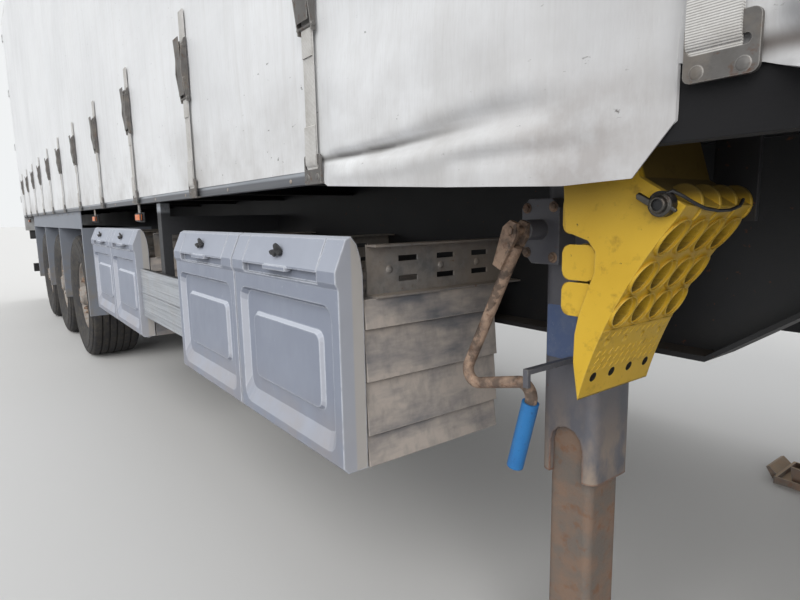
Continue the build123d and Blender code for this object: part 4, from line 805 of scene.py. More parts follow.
def add_tube(bm, points, radius):
    """A round bar along a line of points."""
    sides = 10
    points = [Vector(p) for p in points]
    # a direction that none of the bars runs along
    up = Vector((0.13, 0.27, 0.95)).normalized()
    rings = []
    for i, point in enumerate(points):
        ahead = points[min(i + 1, len(points) - 1)] - points[max(i - 1, 0)]
        ahead.normalize()
        across = ahead.cross(up).normalized()
        up = across.cross(ahead)
        rings.append([bm.verts.new(point + a * across + b * up) for a, b, _ in ring_of_points(radius, sides)])
    bm.faces.new(rings[0])
    bm.faces.new(rings[-1][::-1])
    join_rings(bm, rings)


def add_bolt(bm, at, axis, sign, radius):
    """A hexagon head with its washer, standing on a face."""
    a, b, along = {"X": (at[1], at[2], at[0]), "Y": (at[0], at[2], at[1])}[axis]
    washer = [(0.0, radius * 1.35), (radius * 0.18, radius * 1.3), (radius * 0.2, radius * 0.9)]
    add_lathe(bm, washer, at, axis, 16, 0, sign)
    # each head is turned by its place, so that neighbours differ
    head = hexagon(radius, a * 7 + b * 11, (a, b))
    add_prism(bm, head, axis, along, along + sign * radius * 0.75, edge=radius * 0.1)


def add_dome(bm, at, axis, sign, radius, material=0):
    """A round bolt head or rivet, standing on a face."""
    profile = [(radius * 0.45 * sin(k * pi / 8), radius * cos(k * pi / 8)) for k in range(5)]
    add_lathe(bm, profile, at, axis, 14, material, sign)


def finish_piece(name, bm, finishes, body, sharp=35):
    """Turns a built mesh into a piece that rides on a body; edges above the sharp angle stay hard."""
    bmesh.ops.recalc_face_normals(bm, faces=bm.faces)
    mesh = bpy.data.meshes.new(name)
    bm.to_mesh(mesh)
    bm.free()
    mesh.shade_smooth()
    mesh.set_sharp_from_angle(angle=radians(sharp))
    for finish in finishes:
        mesh.materials.append(bpy.data.materials[finish])
    made = bpy.data.objects.new(name, mesh)
    bpy.context.scene.collection.objects.link(made)
    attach(made, body)
    return made


def ease(low, high, value):
    """0 below low, 1 above high, smooth between."""
    share = min(1.0, max(0.0, (value - low) / (high - low)))
    return share * share * (3 - 2 * share)


def bell(distance, reach):
    """1 at no distance, falling off smoothly on both sides."""
    return exp(-((distance / reach) ** 2))


def hem_height(x, side):
    """The height of the curtain's lower edge."""
    if side > 0 or x <= LOOSE_HEM[0][0]:
        return HEM_Z
    for (x0, z0), (x1, z1) in zip(LOOSE_HEM, LOOSE_HEM[1:]):
        if x <= x1:
            return z0 + (z1 - z0) * (x - x0) / (x1 - x0)
    return LOOSE_HEM[-1][1]


def fold_out(x, z):
    """How the deep fold above the leg, and the loose cloth below it, stand out and in."""
    # the fold's strength along the side, its height and its half width
    reach = ease(2.44, 2.60, x) * (1 - ease(2.98, 3.14, x))
    line = 1.287 + 0.016 * ease(2.7, 3.05, x)
    wide = 0.009 + 0.010 * ease(2.6, 3.0, x)
    # the cloth stands out above it, is drawn in along it and stands out again just below
    out = 0.012 * reach * (1 - ease(1.40, 1.55, z))
    out -= 0.016 * reach * bell(z - line, wide)
    out += 0.006 * reach * bell(z - line + 0.036, 0.018)
    # a short second fold near the hem, and the free cloth that leans out above the leg
    second = ease(2.86, 2.98, x) * (1 - ease(3.06, 3.20, x))
    out -= 0.005 * second * bell(z - 1.246, 0.012)
    free = ease(2.5, 3.0, x) * (1 - ease(3.14, 3.26, x)) * (1 - ease(1.2, 1.42, z))
    return out + 0.009 * free


def gather_out(x, z):
    """How the cloth gathers in waves ahead of the raised strap."""
    share = ease(3.33, 3.37, x) * (1 - ease(3.9, 4.2, x)) * (1 - ease(1.32, 1.55, z))
    return share * (0.014 + 0.016 * cos((z - 1.284 + 0.05 * (x - 3.34)) * 2 * pi / 0.070))


def cloth_out(x, z, side, bulge):
    """How far the cloth stands out from its plane: full between the straps, held in at each of them."""
    share = ((x - STRAP_XS[0]) / STRAP_PITCH) % 1.0
    bay = (x - STRAP_XS[0]) // STRAP_PITCH
    full = 0.75 + 0.5 * noise.noise(Vector((bay * 3.7, side * 5.1, 0.3)))
    rise = ease(HEM_Z, 1.62, z) * (1 - 0.6 * ease(2.0, 3.7, z))
    out = bulge * full * sin(pi * share) ** 1.3 * rise
    # small creases beside each strap, and then broad and fine unevenness
    near = min(share, 1 - share) * STRAP_PITCH
    pull = bell(near, 0.07) * (1 - ease(1.5, 2.1, z))
    out -= 0.0025 * pull * (1 + sin(z * 2 * pi / 0.12 + bay))
    out += 0.004 * noise.noise(Vector((x * 1.4, z * 2.3, side * 2.0))) * ease(HEM_Z, 1.4, z)
    fine = noise.noise(Vector((x * 4.0 + z * 4.0, z * 8.0 - x * 2.0, side)))
    out += 0.0010 * fine * (1 - ease(1.7, 2.4, z))
    if side < 0 and 2.3 < x < 3.4:
        out += fold_out(x, z)
    if side < 0 and 3.3 < x < 4.3:
        out += gather_out(x, z)
    held = bell(near, 0.045) * (1 - ease(1.8, 1.95, z))
    deepest = -0.0035
    return max(out * (1 - 0.9 * held), deepest)


def curtain_rows():
    """Heights of the rows of the cloth's mesh, close together near the hem."""
    rows = [HEM_Z + 0.005 * i for i in range(24)]
    for top, step in ((1.95, 0.022), (TOP_Z - 0.1, 0.09)):
        while rows[-1] < top:
            rows.append(rows[-1] + step)
    return rows + [TOP_Z]


def curtain_columns(side):
    """Places of the columns of the cloth's mesh, close together at the loose corner."""
    low_x, high_x = (corner.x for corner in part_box("curtain_right"))
    coarse, close = 0.03, 0.0085
    columns = [low_x]
    while columns[-1] < high_x - coarse:
        loose = side < 0 and 2.28 < columns[-1] < 3.44
        columns.append(columns[-1] + (close if loose else coarse))
    if side < 0:
        columns = [x for x in columns if all(abs(x - corner) > 0.002 for corner, _ in LOOSE_HEM)]
        columns = sorted(columns + [corner for corner, _ in LOOSE_HEM])
    return columns + [high_x]


class TRAILER_OT_curtains(bpy.types.Operator):
    """Hangs the two curtains as sheets of coated cloth"""

    bl_idname = "trailer.curtains"
    bl_label = "Curtains"

    def execute(self, context):
        look = context.scene.trailer_cloth
        rows = curtain_rows()
        # the loose hem is pulled down from its straight line, less and less up to this height above it
        drawn = 0.16
        for side, name in SIDES:
            bm = bmesh.new()
            columns = curtain_columns(side)
            grid = []
            for x in columns:
                drop = hem_height(x, side) - HEM_Z
                line = []
                for z in rows:
                    height = z + drop * (1 - ease(HEM_Z, HEM_Z + drawn, z))
                    out = cloth_out(x, height, side, look.bulge)
                    line.append(bm.verts.new((x, side * (CLOTH_Y + out), height)))
                grid.append(line)
            for first, second in zip(grid, grid[1:]):
                for i in range(len(rows) - 1):
                    corners = (first[i], second[i], second[i + 1], first[i + 1])
                    bm.faces.new(corners if side < 0 else corners[::-1])
            # the solid side is laid inwards from the outer face, which needs the faces' normals
            bm.normal_update()
            bmesh.ops.solidify(bm, geom=bm.faces[:], thickness=look.thickness)
            made = finish_piece(
                "curtain_cloth_" + name, bm, ["PVC-coated polyester"], "trailer", sharp=60
            )
            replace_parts(made, "curtain_" + name)
        return {"FINISHED"}


def add_strap(web, steel, x, side):
    """One strap: a doubled end through the hook plate's slot, webbing, and an over-centre buckle."""
    # the strap at the loose corner is wider and sits higher and further back
    raised = side < 0 and abs(x - RAISED_X) < 0.01
    foot = 1.290 if raised else 1.238
    half = 0.0265 if raised else 0.0225
    plate_x = x - 0.012 if raised else x
    plate_low = 0.003 if raised else 0.0
    x = x - 0.019 if raised else x

    def y(out):
        return side * (STRAP_Y + out)

    def draw(bm, outline, start, end, edge=0.0):
        add_prism(bm, [(y(out), z) for out, z in outline], "X", x + start, x + end, edge)

    # each outline: out from the cloth, height
    band = [
        (0.0030, foot + 0.030), (0.0050, foot + 0.030), (0.0056, 1.545), (0.0056, 1.60), (0.0036, 1.60),
        (0.0036, 1.545),
    ]
    doubled_end = [
        (0.0052, foot + 0.037), (0.0064, foot + 0.0365), (0.0092, foot + 0.041), (0.0098, foot + 0.050),
        (0.0094, foot + 0.120), (0.0066, foot + 0.123), (0.0064, foot + 0.050),
    ]
    above_buckle = [(0.0004, 1.70), (0.0050, 1.70), (0.0046, 1.833), (0.0004, 1.833)]
    tail = box_outline((0.0060, 1.50), (0.0085, 1.56))
    for outline, narrower in ((band, 0.0), (doubled_end, 0.0), (above_buckle, 0.0), (tail, 0.002)):
        draw(web, outline, narrower - half, half - narrower)

    # the hook plate with its slot and two rivets; its hook has come off the rave at the raised strap
    outline = rounded_corners((plate_x, foot + 0.031 + plate_low), (0.072, 0.062 - plate_low), 0.008)
    slot = rounded_corners((plate_x - 0.002, foot + 0.0365), (0.060, 0.0105), 0.005)
    add_ringed_plate(steel, outline, slot, y(0.0010), y(0.0062))
    rivet = [(0.0, 0.0075), (0.0012, 0.0068), (0.0021, 0.0045), (0.0024, 0.0)]
    for rivet_x in (plate_x - 0.022, plate_x + 0.022):
        add_lathe(steel, rivet, (rivet_x, y(0.0060), foot + 0.014), "Y", 16, sign=side)
    if not raised:
        add_block(steel, (x - 0.036, y(0.006), foot - 0.0008), (x + 0.036, y(-0.012), foot + 0.0032), 0.0008)

    # the buckle between two heights: its cheeks, its lever and three cross pins
    low, high = 1.548, 1.748
    cheek = [
        (0.001, low), (0.012, low), (0.024, low + 0.09), (0.019, high - 0.03), (0.008, high - 0.004),
        (0.001, high),
    ]
    for start in (-0.031, 0.0275):
        draw(steel, cheek, start, start + 0.0035, 0.0006)
    lever = [
        (0.0150, low + 0.022), (0.0178, low + 0.020), (0.0215, low + 0.115), (0.0252, high - 0.022),
        (0.0268, high - 0.004), (0.0240, high - 0.002), (0.0225, high - 0.020), (0.0188, low + 0.117),
    ]
    draw(steel, lever, -0.025, 0.025, 0.0006)
    for out, z in ((0.0085, low + 0.012), (0.0150, low + 0.070), (0.0105, high - 0.028)):
        add_tube(steel, [(x - 0.034, y(out), z), (x + 0.034, y(out), z)], 0.0042)


class TRAILER_OT_straps(bpy.types.Operator):
    """Puts the webbing, hook plates and over-centre buckles on both sides"""

    bl_idname = "trailer.straps"
    bl_label = "Curtain straps"

    def execute(self, context):
        web = bmesh.new()
        steel = bmesh.new()
        for side, _ in SIDES:
            for x in STRAP_XS:
                add_strap(web, steel, x, side)
        for name, bm, finish, slot in (
            ("strap_webbing", web, "Woven polyester webbing", "webbing"),
            ("strap_fittings", steel, "Zinc-plated pressed steel", "galvanised"),
        ):
            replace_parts(finish_piece(name, bm, [finish], "trailer"), "curtain_straps")
        return {"FINISHED"}


def tyre_profile(depth):
    """(along the axle, radius) points across one tyre, from bead to bead, with its tread grooves."""
    wall = [
        (0.1495, 0.2858), (0.1560, 0.2930), (0.1640, 0.3060), (0.1650, 0.3100), (0.1630, 0.3140),
        (0.1720, 0.3420), (0.1830, 0.3740), (0.1905, 0.4040), (0.1925, 0.4300), (0.1915, 0.4480),
        (0.1935, 0.4500), (0.1925, 0.4540), (0.1890, 0.4560), (0.1860, 0.4800), (0.1800, 0.4950),
        (0.1760, 0.5000), (0.1745, 0.4960), (0.1725, 0.4960), (0.1700, 0.5080), (0.1600, 0.5160),
        (0.1500, 0.5200),
    ]
    grooves = []
    half = 0.0065
    for middle in (0.108, 0.054, 0.0):
        crown = 0.5250 - 0.0045 * (middle / 0.15) ** 2
        grooves.append([
            (middle + half, crown - 0.0004), (middle + half - 0.0015, crown - depth),
            (middle - half + 0.0015, crown - depth), (middle - half, crown - 0.0002),
        ])
    outer, inner, central = grooves
    near = wall + outer + inner
    return near + central + [(-along, radius) for along, radius in reversed(near)]


def wheel_nuts(x, side):
    """Ten nuts with their washers and studs on a rim, and six small bolts round its hub cap."""
    nuts = bmesh.new()
    rim_face, nut_circle = side * (TYRE_Y + 0.1258), 0.1475
    cap_face, cap_circle = side * (TYRE_Y + 0.1838), 0.0600
    washer = [(0.0, 0.0215), (0.004, 0.0205), (0.0042, 0.015)]
    stud = [(0.018, 0.0105), (0.031, 0.0105), (0.033, 0.008), (0.033, 0.0)]
    for a, b, turn in ring_of_points(nut_circle, 10, pi / 10, (x, AXLE_Z)):
        add_prism(nuts, hexagon(0.0165, turn, (a, b)), "Y", rim_face, rim_face + side * 0.020, edge=0.0015)
        add_lathe(nuts, washer, (a, rim_face, b), "Y", 14, sign=side)
        add_lathe(nuts, stud, (a, rim_face, b), "Y", 10, sign=side)
    for a, b, _ in ring_of_points(cap_circle, 6, 0.0, (x, AXLE_Z)):
        add_prism(nuts, hexagon(0.0065, 0.0, (a, b)), "Y", cap_face, cap_face + side * 0.004, edge=0.0006)
    return nuts


class TRAILER_OT_tyres(bpy.types.Operator):
    """Turns the six tyres with their ribbed tread, and sets the wheel nuts"""

    bl_idname = "trailer.tyres"
    bl_label = "Tyres and nuts"

    def execute(self, context):
        look = context.scene.trailer_wheel
        profile = tyre_profile(look.groove_depth)
        for number, x in enumerate(AXLE_XS, 1):
            for side, name in SIDES:
                tag = name + "_" + str(number)
                body = "wheel_" + tag
                bm = bmesh.new()
                add_lathe(bm, profile, (x, side * TYRE_Y, AXLE_Z), "Y", look.steps, sign=side)
                made = finish_piece(
                    "tyre_tread_" + tag, bm, ["Vulcanised tyre rubber"], body, sharp=40
                )
                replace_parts(made, "tyre_" + tag)
                finish_piece("wheel_nuts_" + tag, wheel_nuts(x, side), ["Rusty drawn bar"], body)
        return {"FINISHED"}


class TRAILER_OT_bellows(bpy.types.Operator):
    """Turns the six air springs: piston, rolling lobe and crimped top"""

    bl_idname = "trailer.bellows"
    bl_label = "Air springs"

    def execute(self, context):
        behind_axle, seat_z = 0.33, 0.6002
        profile = [
            # height from the seat, radius
            (0.0, 0.0), (0.0, 0.082), (0.006, 0.088), (0.070, 0.090), (0.074, 0.096), (0.078, 0.118),
            (0.088, 0.128), (0.105, 0.130), (0.130, 0.126), (0.142, 0.119), (0.148, 0.117), (0.154, 0.119),
            (0.166, 0.126), (0.190, 0.1295), (0.215, 0.127), (0.236, 0.118), (0.244, 0.108), (0.246, 0.116),
            (0.252, 0.118), (0.258, 0.116), (0.2595, 0.0),
        ]
        bm = bmesh.new()
        for x in AXLE_XS:
            for side, _ in SIDES:
                add_lathe(bm, profile, (x - behind_axle, side * BEAM_Y, seat_z), "Z", 40)
        made = finish_piece(
            "air_spring_bellows", bm, ["Moulded spring rubber"], "trailer", sharp=50
        )
        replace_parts(made, "air_springs")
        return {"FINISHED"}


class TRAILER_OT_latches(bpy.types.Operator):
    """Sets a keyed latch in the lid of each toolbox door"""

    bl_idname = "trailer.latches"
    bl_label = "Toolbox latches"

    def execute(self, context):
        half_door, lid_y, lid_z, lid_lean = 0.309, -1.2477, 1.0812, 23
        rose = [(0.0, 0.0225), (0.004, 0.022), (0.0055, 0.019), (0.0055, 0.0)]
        wing = [
            (-0.026, -0.006), (0.026, -0.006), (0.029, 0.0), (0.026, 0.006), (-0.026, 0.006), (-0.029, 0.0),
        ]
        boss = [(0.016, 0.009), (0.020, 0.0085), (0.0205, 0.0)]
        for number, low in enumerate(DOOR_LOWS, 1):
            # built round the origin with the lid's face across Y, and then laid on the lid
            bm = bmesh.new()
            add_lathe(bm, rose, (0, 0, 0), "Y", 20, sign=-1)
            add_prism(bm, wing, "Y", -0.005, -0.017, edge=0.0015)
            add_lathe(bm, boss, (0, 0, 0), "Y", 14, sign=-1)
            add_block(bm, (-0.020, -0.0075, -0.026), (-0.006, -0.0005, -0.018), 0.001, 1)
            add_block(bm, (0.004, -0.0070, -0.029), (0.022, -0.0005, -0.022), 0.001, 1)
            place = Matrix.Translation((low + half_door, lid_y, lid_z))
            bm.transform(place @ Matrix.Rotation(radians(lid_lean), 4, "X"))
            finish_piece(
                "box_latch_" + str(number), bm, ["Moulded black nylon", "Rusty drawn bar"],
                "box_door_" + str(number),
            )
        return {"FINISHED"}


def leg_label():
    """The bare label on the outer face of the right leg, a rectangle with cut corners."""
    bm = bmesh.new()
    outline = [
        (2.824, 0.866), (2.890, 0.866), (2.893, 0.869), (2.893, 0.975), (2.890, 0.978), (2.824, 0.978),
        (2.821, 0.975), (2.821, 0.869),
    ]
    add_prism(bm, outline, "Y", -0.9300, -0.9305, edge=0.0002)
    return bm


def leg_bolts():
    """Bolts of the legs' brackets and of the gearbox, and the ends of the foot pins."""
    bm = bmesh.new()
    pin_end = [
        (0.0, 0.0235), (0.003, 0.0225), (0.003, 0.016), (0.006, 0.015), (0.0065, 0.007), (0.010, 0.0065),
        (0.010, 0.0),
    ]
    for side, _ in SIDES:
        for y in (0.690, 0.752):
            for z in (0.92, 1.04, 1.16):
                for end in (1, -1):
                    add_bolt(bm, (LEG_X + end * 0.042, side * y, z), "X", end, 0.012)
        for end in (-1, 1):
            add_lathe(bm, pin_end, (LEG_X, side * LEG_Y + end * 0.0745, FOOT_PIN_Z), "Y", 24, sign=end)
    for x, z in ((2.806, 1.088), (2.871, 1.080), (2.806, 1.176), (2.871, 1.178)):
        add_bolt(bm, (x, -0.982, z), "Y", -1, 0.008)
    return bm


def chock_wing_nut():
    """The wing nut on the rod that keeps the chock on its holder."""
    bm = bmesh.new()
    rod = (3.204, -1.212, 1.174)
    ring = [
        (-0.009, 0.0145), (-0.004, 0.0145), (-0.003, 0.0105), (0.003, 0.0100), (0.004, 0.0090),
        (0.004, 0.0072), (-0.006, 0.0068), (-0.006, 0.0),
    ]
    add_lathe(bm, ring, rod, "Y", 28, sign=-1)
    wing = [(-0.010, 0.005), (-0.029, 0.016), (-0.033, 0.013), (-0.032, 0.008), (-0.012, -0.004)]
    # a long wing and a short one opposite
    for size in (1.0, -0.6):
        outline = [(rod[0] + a * size, rod[2] + b * size) for a, b in wing]
        add_prism(bm, outline, "Y", -1.207, -1.202, edge=0.001)
    return bm


def chock_retainer():
    """The wire that hangs from the wing nut over the top of the chock."""
    bm = bmesh.new()
    line = [
        (3.206, -1.2030, 1.186), (3.215, -1.2010, 1.190), (3.224, -1.1930, 1.184), (3.2300, -1.178, 1.176),
        (3.2310, -1.150, 1.169), (3.2310, -1.115, 1.1655), (3.2310, -1.080, 1.166), (3.2310, -1.052, 1.171),
        (3.2290, -1.038, 1.180),
    ]
    add_tube(bm, line, 0.0022)
    return bm


class TRAILER_OT_leg_fittings(bpy.types.Operator):
    """Adds the bare label, bolts, foot pins, and the chock's wing nut and retaining wire"""

    bl_idname = "trailer.leg_fittings"
    bl_label = "Leg and chock fittings"

    def execute(self, context):
        for name, bm, finish, slot in (
            ("leg_label", leg_label(), "Vinyl label film", "leg_paint"),
            ("leg_bolts", leg_bolts(), "Rusty drawn bar", "pin_steel"),
            ("chock_wing_nut", chock_wing_nut(), "Greased turned steel", "pin_steel"),
            ("chock_retainer", chock_retainer(), "Moulded black nylon", "grip_plastic"),
        ):
            finish_piece(name, bm, [finish], "trailer")
        return {"FINISHED"}


def chock_face(up):
    """A point's place along X on the chock's hollowed face, at a height above its tip."""
    ahead, below = CHOCK_FACE_CENTRE
    return CHOCK_TIP[0] + ahead - (CHOCK_FACE_R ** 2 - (up - below) ** 2) ** 0.5


def add_cell_rim(bm, y, up):
    """The thin wall that stands round one cell of the chock, following its hollowed face."""
    inner, outer, sunk, proud = 0.0222, 0.0237, -0.003, 0.0050
    rings = []
    for radius, out in ((inner, sunk), (inner, proud), (outer, proud), (outer, sunk)):
        rings.append([
            bm.verts.new((chock_face(high) + out, across, CHOCK_TIP[1] + high))
            for across, high, _ in ring_of_points(radius, 36, 0.0, (y, up))
        ])
    join_rings(bm, rings + rings[:1])


def add_face_ridge(bm, start, end, half, proud):
    """A low ridge on the chock's hollowed face between two points of (y, height above the tip)."""
    start = Vector(start)
    end = Vector(end)
    along = (end - start).normalized() * half
    beside = Vector((-along.y, along.x))
    sunk = -0.0005

    def point(at, out):
        return bm.verts.new((chock_face(at.y) + out, at.x, CHOCK_TIP[1] + at.y))

    base = [point(at, sunk) for at in (start + beside, end + beside, end - beside, start - beside)]
    top = [point(start + along, proud), point(end - along, proud)]
    for face in (
        (base[0], base[1], top[1], top[0]),
        (base[2], base[3], top[0], top[1]),
        (base[1], base[2], top[1]),
        (base[3], base[0], top[0]),
        base[::-1],
    ):
        bm.faces.new(face)


class TRAILER_OT_chock_details(bpy.types.Operator):
    """Adds the cell walls, ridges, ears and side pads that are moulded on the wheel chock"""

    bl_idname = "trailer.chock_details"
    bl_label = "Chock details"

    def execute(self, context):
        outer_y, inner_y = (corner.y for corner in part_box("wheel_chock"))
        bm = bmesh.new()
        for up in CHOCK_ROWS:
            for column in range(4):
                add_cell_rim(bm, outer_y + (column + 0.5) * CHOCK_CELL_PITCH, up)
        # one ridge right across below the cells, and rows of short slanting ones on the nose
        add_face_ridge(bm, (outer_y + 0.001, 0.1085), (inner_y - 0.001, 0.1085), 0.0016, 0.0022)
        for row, up in enumerate((0.048, 0.060, 0.072, 0.100)):
            for k in range(11):
                y = outer_y + 0.014 + 0.0158 * k + 0.004 * (row % 2)
                add_face_ridge(bm, (y - 0.0035, up - 0.0045), (y + 0.0035, up + 0.0045), 0.0009, 0.0013)
        # four round ears at the heel
        heel = (CHOCK_TIP[0] + 0.157, CHOCK_TIP[1] + 0.283)
        ear = [(a, b) for a, b, _ in ring_of_points(0.026, 28, 0.0, heel)]
        for k in range(1, 5):
            y = outer_y + k * CHOCK_CELL_PITCH
            add_prism(bm, ear, "Y", y - 0.006, y - 0.0005, edge=0.001)
        # pads that close the cells on both sides
        for low, high in ((0.124, 0.173), (0.177, 0.228), (0.244, 0.300)):
            middle = (CHOCK_TIP[0] + 0.029, CHOCK_TIP[1] + (low + high) / 2)
            pad = rounded_corners(middle, (0.056, high - low + 0.001), 0.0125)
            for side_y, inward in ((outer_y, 1), (inner_y, -1)):
                add_prism(bm, pad, "Y", side_y + inward * 0.0068, side_y + inward * 0.0085, edge=0.0012)
        finish_piece(
            "chock_cell_walls", bm, ["Blow-moulded polyethylene"], "trailer", sharp=30
        )
        return {"FINISHED"}


def rear_lamp_clusters():
    """The lamp bar with five lenses at each end, and the number plate's holder with its two lamps."""
    paint, black, red, amber, clear = range(5)
    bar_x = -6.750
    # places of the lenses' joints from the middle of a cluster, outer end first
    joints = (-0.204, -0.104, -0.004, 0.096, 0.150, 0.204)
    lenses = (amber, red, red, clear, red)
    bm = bmesh.new()
    add_block(bm, (bar_x, -1.215, 0.910), (-6.710, 1.215, 1.040), 0.004, paint)
    for side, _ in SIDES:
        middle = side * 0.995
        add_block(bm, (-6.768, middle - 0.210, 0.920), (bar_x, middle + 0.210, 1.030), 0.005, black)
        for low, high, lens in zip(joints, joints[1:], lenses):
            start = middle - side * (low + 0.003)
            end = middle - side * (high - 0.003)
            add_block(bm, (-6.7795, start, 0.925), (-6.766, end, 1.025), 0.004, lens)
        for y in (middle - 0.20, middle + 0.20):
            add_dome(bm, (bar_x, y, 1.035), "X", -1, 0.004, black)
    add_block(bm, (-6.753, -0.27, 0.920), (bar_x, 0.27, 1.030), 0.001, black)
    for y in (-0.31, 0.31):
        add_block(bm, (-6.776, y - 0.022, 0.990), (bar_x, y + 0.022, 1.026), 0.005, black)
    return bm


def side_marker_lamps():
    """Five amber lamps on each side, each on a black foot under a bolted tab."""
    foot, lens, tab = range(3)
    bm = bmesh.new()
    for side, _ in SIDES:
        back, front, face, tab_face = (side * y for y in (1.2385, 1.2475, 1.2618, 1.2515))
        for x in (-5.900, -0.520, 0.700, 3.560, 6.300):
            add_block(bm, (x - 0.055, back, 1.156), (x + 0.055, front, 1.202), 0.003, foot)
            add_block(bm, (x - 0.051, front, 1.160), (x + 0.051, face, 1.198), 0.006, lens)
            add_block(bm, (x - 0.020, front, 1.198), (x + 0.020, tab_face, 1.2398), 0.001, tab)
            add_dome(bm, (x, tab_face, 1.222), "Y", side, 0.006, tab)
    return bm


class TRAILER_OT_lamps(bpy.types.Operator):
    """Builds the rear lamp clusters and the amber side markers"""

    bl_idname = "trailer.lamps"
    bl_label = "Lamps"

    def execute(self, context):
        finishes = (
            "Two-pack chassis paint", "Moulded black nylon", "Red acrylic lens", "Amber acrylic lens",
            "Clear acrylic lens",
        )
        made = finish_piece("rear_lamp_clusters", rear_lamp_clusters(), finishes, "trailer")
        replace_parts(made, "rear_lamps")
        finishes = ("Moulded black nylon", "Amber acrylic lens", "Hot-dip galvanised steel")
        made = finish_piece("side_marker_lamps", side_marker_lamps(), finishes, "trailer")
        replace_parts(made, "side_markers")
        return {"FINISHED"}


class TRAILER_OT_couplings(bpy.types.Operator):
    """Builds the air couplings and electric sockets on their panel"""

    bl_idname = "trailer.couplings"
    bl_label = "Front couplings"

    def execute(self, context):
        zinc, black, red, yellow = range(4)
        face_x, row_z, pitch = 6.804, 1.45, 0.12
        # profiles: out from the panel, radius
        air = [(0.0, 0.020), (0.014, 0.020), (0.015, 0.028), (0.024, 0.028), (0.028, 0.024), (0.028, 0.0)]
        socket = [
            (0.0, 0.029), (0.004, 0.028), (0.005, 0.0235), (0.030, 0.0235), (0.031, 0.026), (0.038, 0.026),
            (0.041, 0.023), (0.041, 0.0),
        ]
        bm = bmesh.new()
        add_block(bm, (FRONT_WALL_X, -0.330, 1.380), (face_x, 0.330, 1.520), 0.001, zinc)
        for y in (-0.31, 0.31):
            for z in (1.395, 1.505):
                add_dome(bm, (face_x, y, z), "X", 1, 0.006, zinc)
        # an air coupling at each end of the row, with two claws
        for y, colour in ((-2 * pitch, red), (2 * pitch, yellow)):
            add_lathe(bm, air, (face_x, y, row_z), "X", 28, colour)
            for turn in (1, -1):
                start = (6.826, y - turn * 0.010, row_z - turn * 0.020)
                end = (6.840, y + turn * 0.040, row_z - turn * 0.008)
                add_block(bm, start, end, 0.003, zinc)
        # three electric sockets between them, each with the hinge and the catch of its lid
        for y in (-pitch, 0.0, pitch):
            add_lathe(bm, socket, (face_x, y, row_z), "X", 28, black)
            add_tube(bm, [(6.840, y - 0.022, row_z + 0.026), (6.840, y + 0.022, row_z + 0.026)], 0.004)
            add_block(bm, (6.838, y - 0.012, 1.418), (6.8445, y + 0.012, 1.428), 0.002, black)
        finishes = (
            "Hot-dip galvanised steel", "Moulded black nylon", "Red coupling enamel",
            "Yellow coupling enamel",
        )
        made = finish_piece("coupling_panel", bm, finishes, "trailer")
        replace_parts(made, "front_couplings")
        return {"FINISHED"}


def round_head_bolts():
    """Bolts and rivets with round heads on the channels, the mudguard housings and the raves."""
    bm = bmesh.new()
    # each pair of toolbox channels, from the front end of its unit
    for front in (2.520, 0.550):
        for x in (front - 0.052, front - 1.243):
            for y in (-1.085, -0.92, -0.79):
                add_dome(bm, (x, y, 1.038), "X", 1, 0.010)
    for side, _ in SIDES:
        housing_y = side * 1.245
        for k in range(13):
            add_dome(bm, (-5.2 + 0.33 * k, housing_y, 1.222), "Y", side, 0.008)
        for x in (-1.202, -2.611, -3.921, -5.256):
            for z in (0.50, 0.70, 0.90, 1.07):
                add_dome(bm, (x, housing_y, z), "Y", side, 0.007)
        for k in range(32):
            add_dome(bm, (-6.5 + 0.42 * k, side * 1.262, 1.2505), "Y", side, 0.0055)
    return bm


def guard_plank_ribs():
    """Low beads along the guard planks, four on each."""
    bm = bmesh.new()
    for low_x, high_x, side, planks in (
        (0.562, 1.248, -1, (0.688, 0.808)),
        (-1.130, 2.675, 1, (0.575, 0.745, 0.925)),
    ):
        for z in [plank + up for plank in planks for up in (0.006, 0.038, 0.080, 0.112)]:
            bows = [k * pi / 4 for k in range(5)]
            bead = [(side * (1.2395 + 0.0032 * sin(bow)), z - 0.004 * cos(bow)) for bow in bows]
            add_prism(bm, bead, "X", low_x + 0.001, high_x - 0.001)
    return bm


def wall_and_roof_joints():
    """Riveted strips and a frame on the front wall, and the joints across the roof sheet."""
    roof_z = 4.0
    bm = bmesh.new()
    for k in range(9):
        y = -1.0 + 0.25 * k
        strip = box_outline((y - 0.006, 1.34), (y + 0.006, TOP_Z))
        add_prism(bm, strip, "X", FRONT_WALL_X - 0.0005, FRONT_WALL_X + 0.0020, edge=0.0006)
        for i in range(18):
            add_dome(bm, (FRONT_WALL_X + 0.0018, y, 1.40 + 0.148 * i), "X", 1, 0.005)
    for side, _ in SIDES:
        post = box_outline((side * 1.12, 1.20), (side * 1.24, 3.98))
        add_prism(bm, post, "X", FRONT_WALL_X - 0.0005, FRONT_WALL_X + 0.0030, edge=0.0008)
    head = box_outline((-1.24, 3.92), (1.24, 3.985))
    add_prism(bm, head, "X", FRONT_WALL_X - 0.0002, FRONT_WALL_X + 0.0035, edge=0.0008)
    for k in range(11):
        x = -6.2 + 1.24 * k
        joint = box_outline((x - 0.02, -1.16), (x + 0.02, 1.16))
        add_prism(bm, joint, "Z", roof_z - 0.0002, roof_z + 0.0016, edge=0.0005)
    return bm


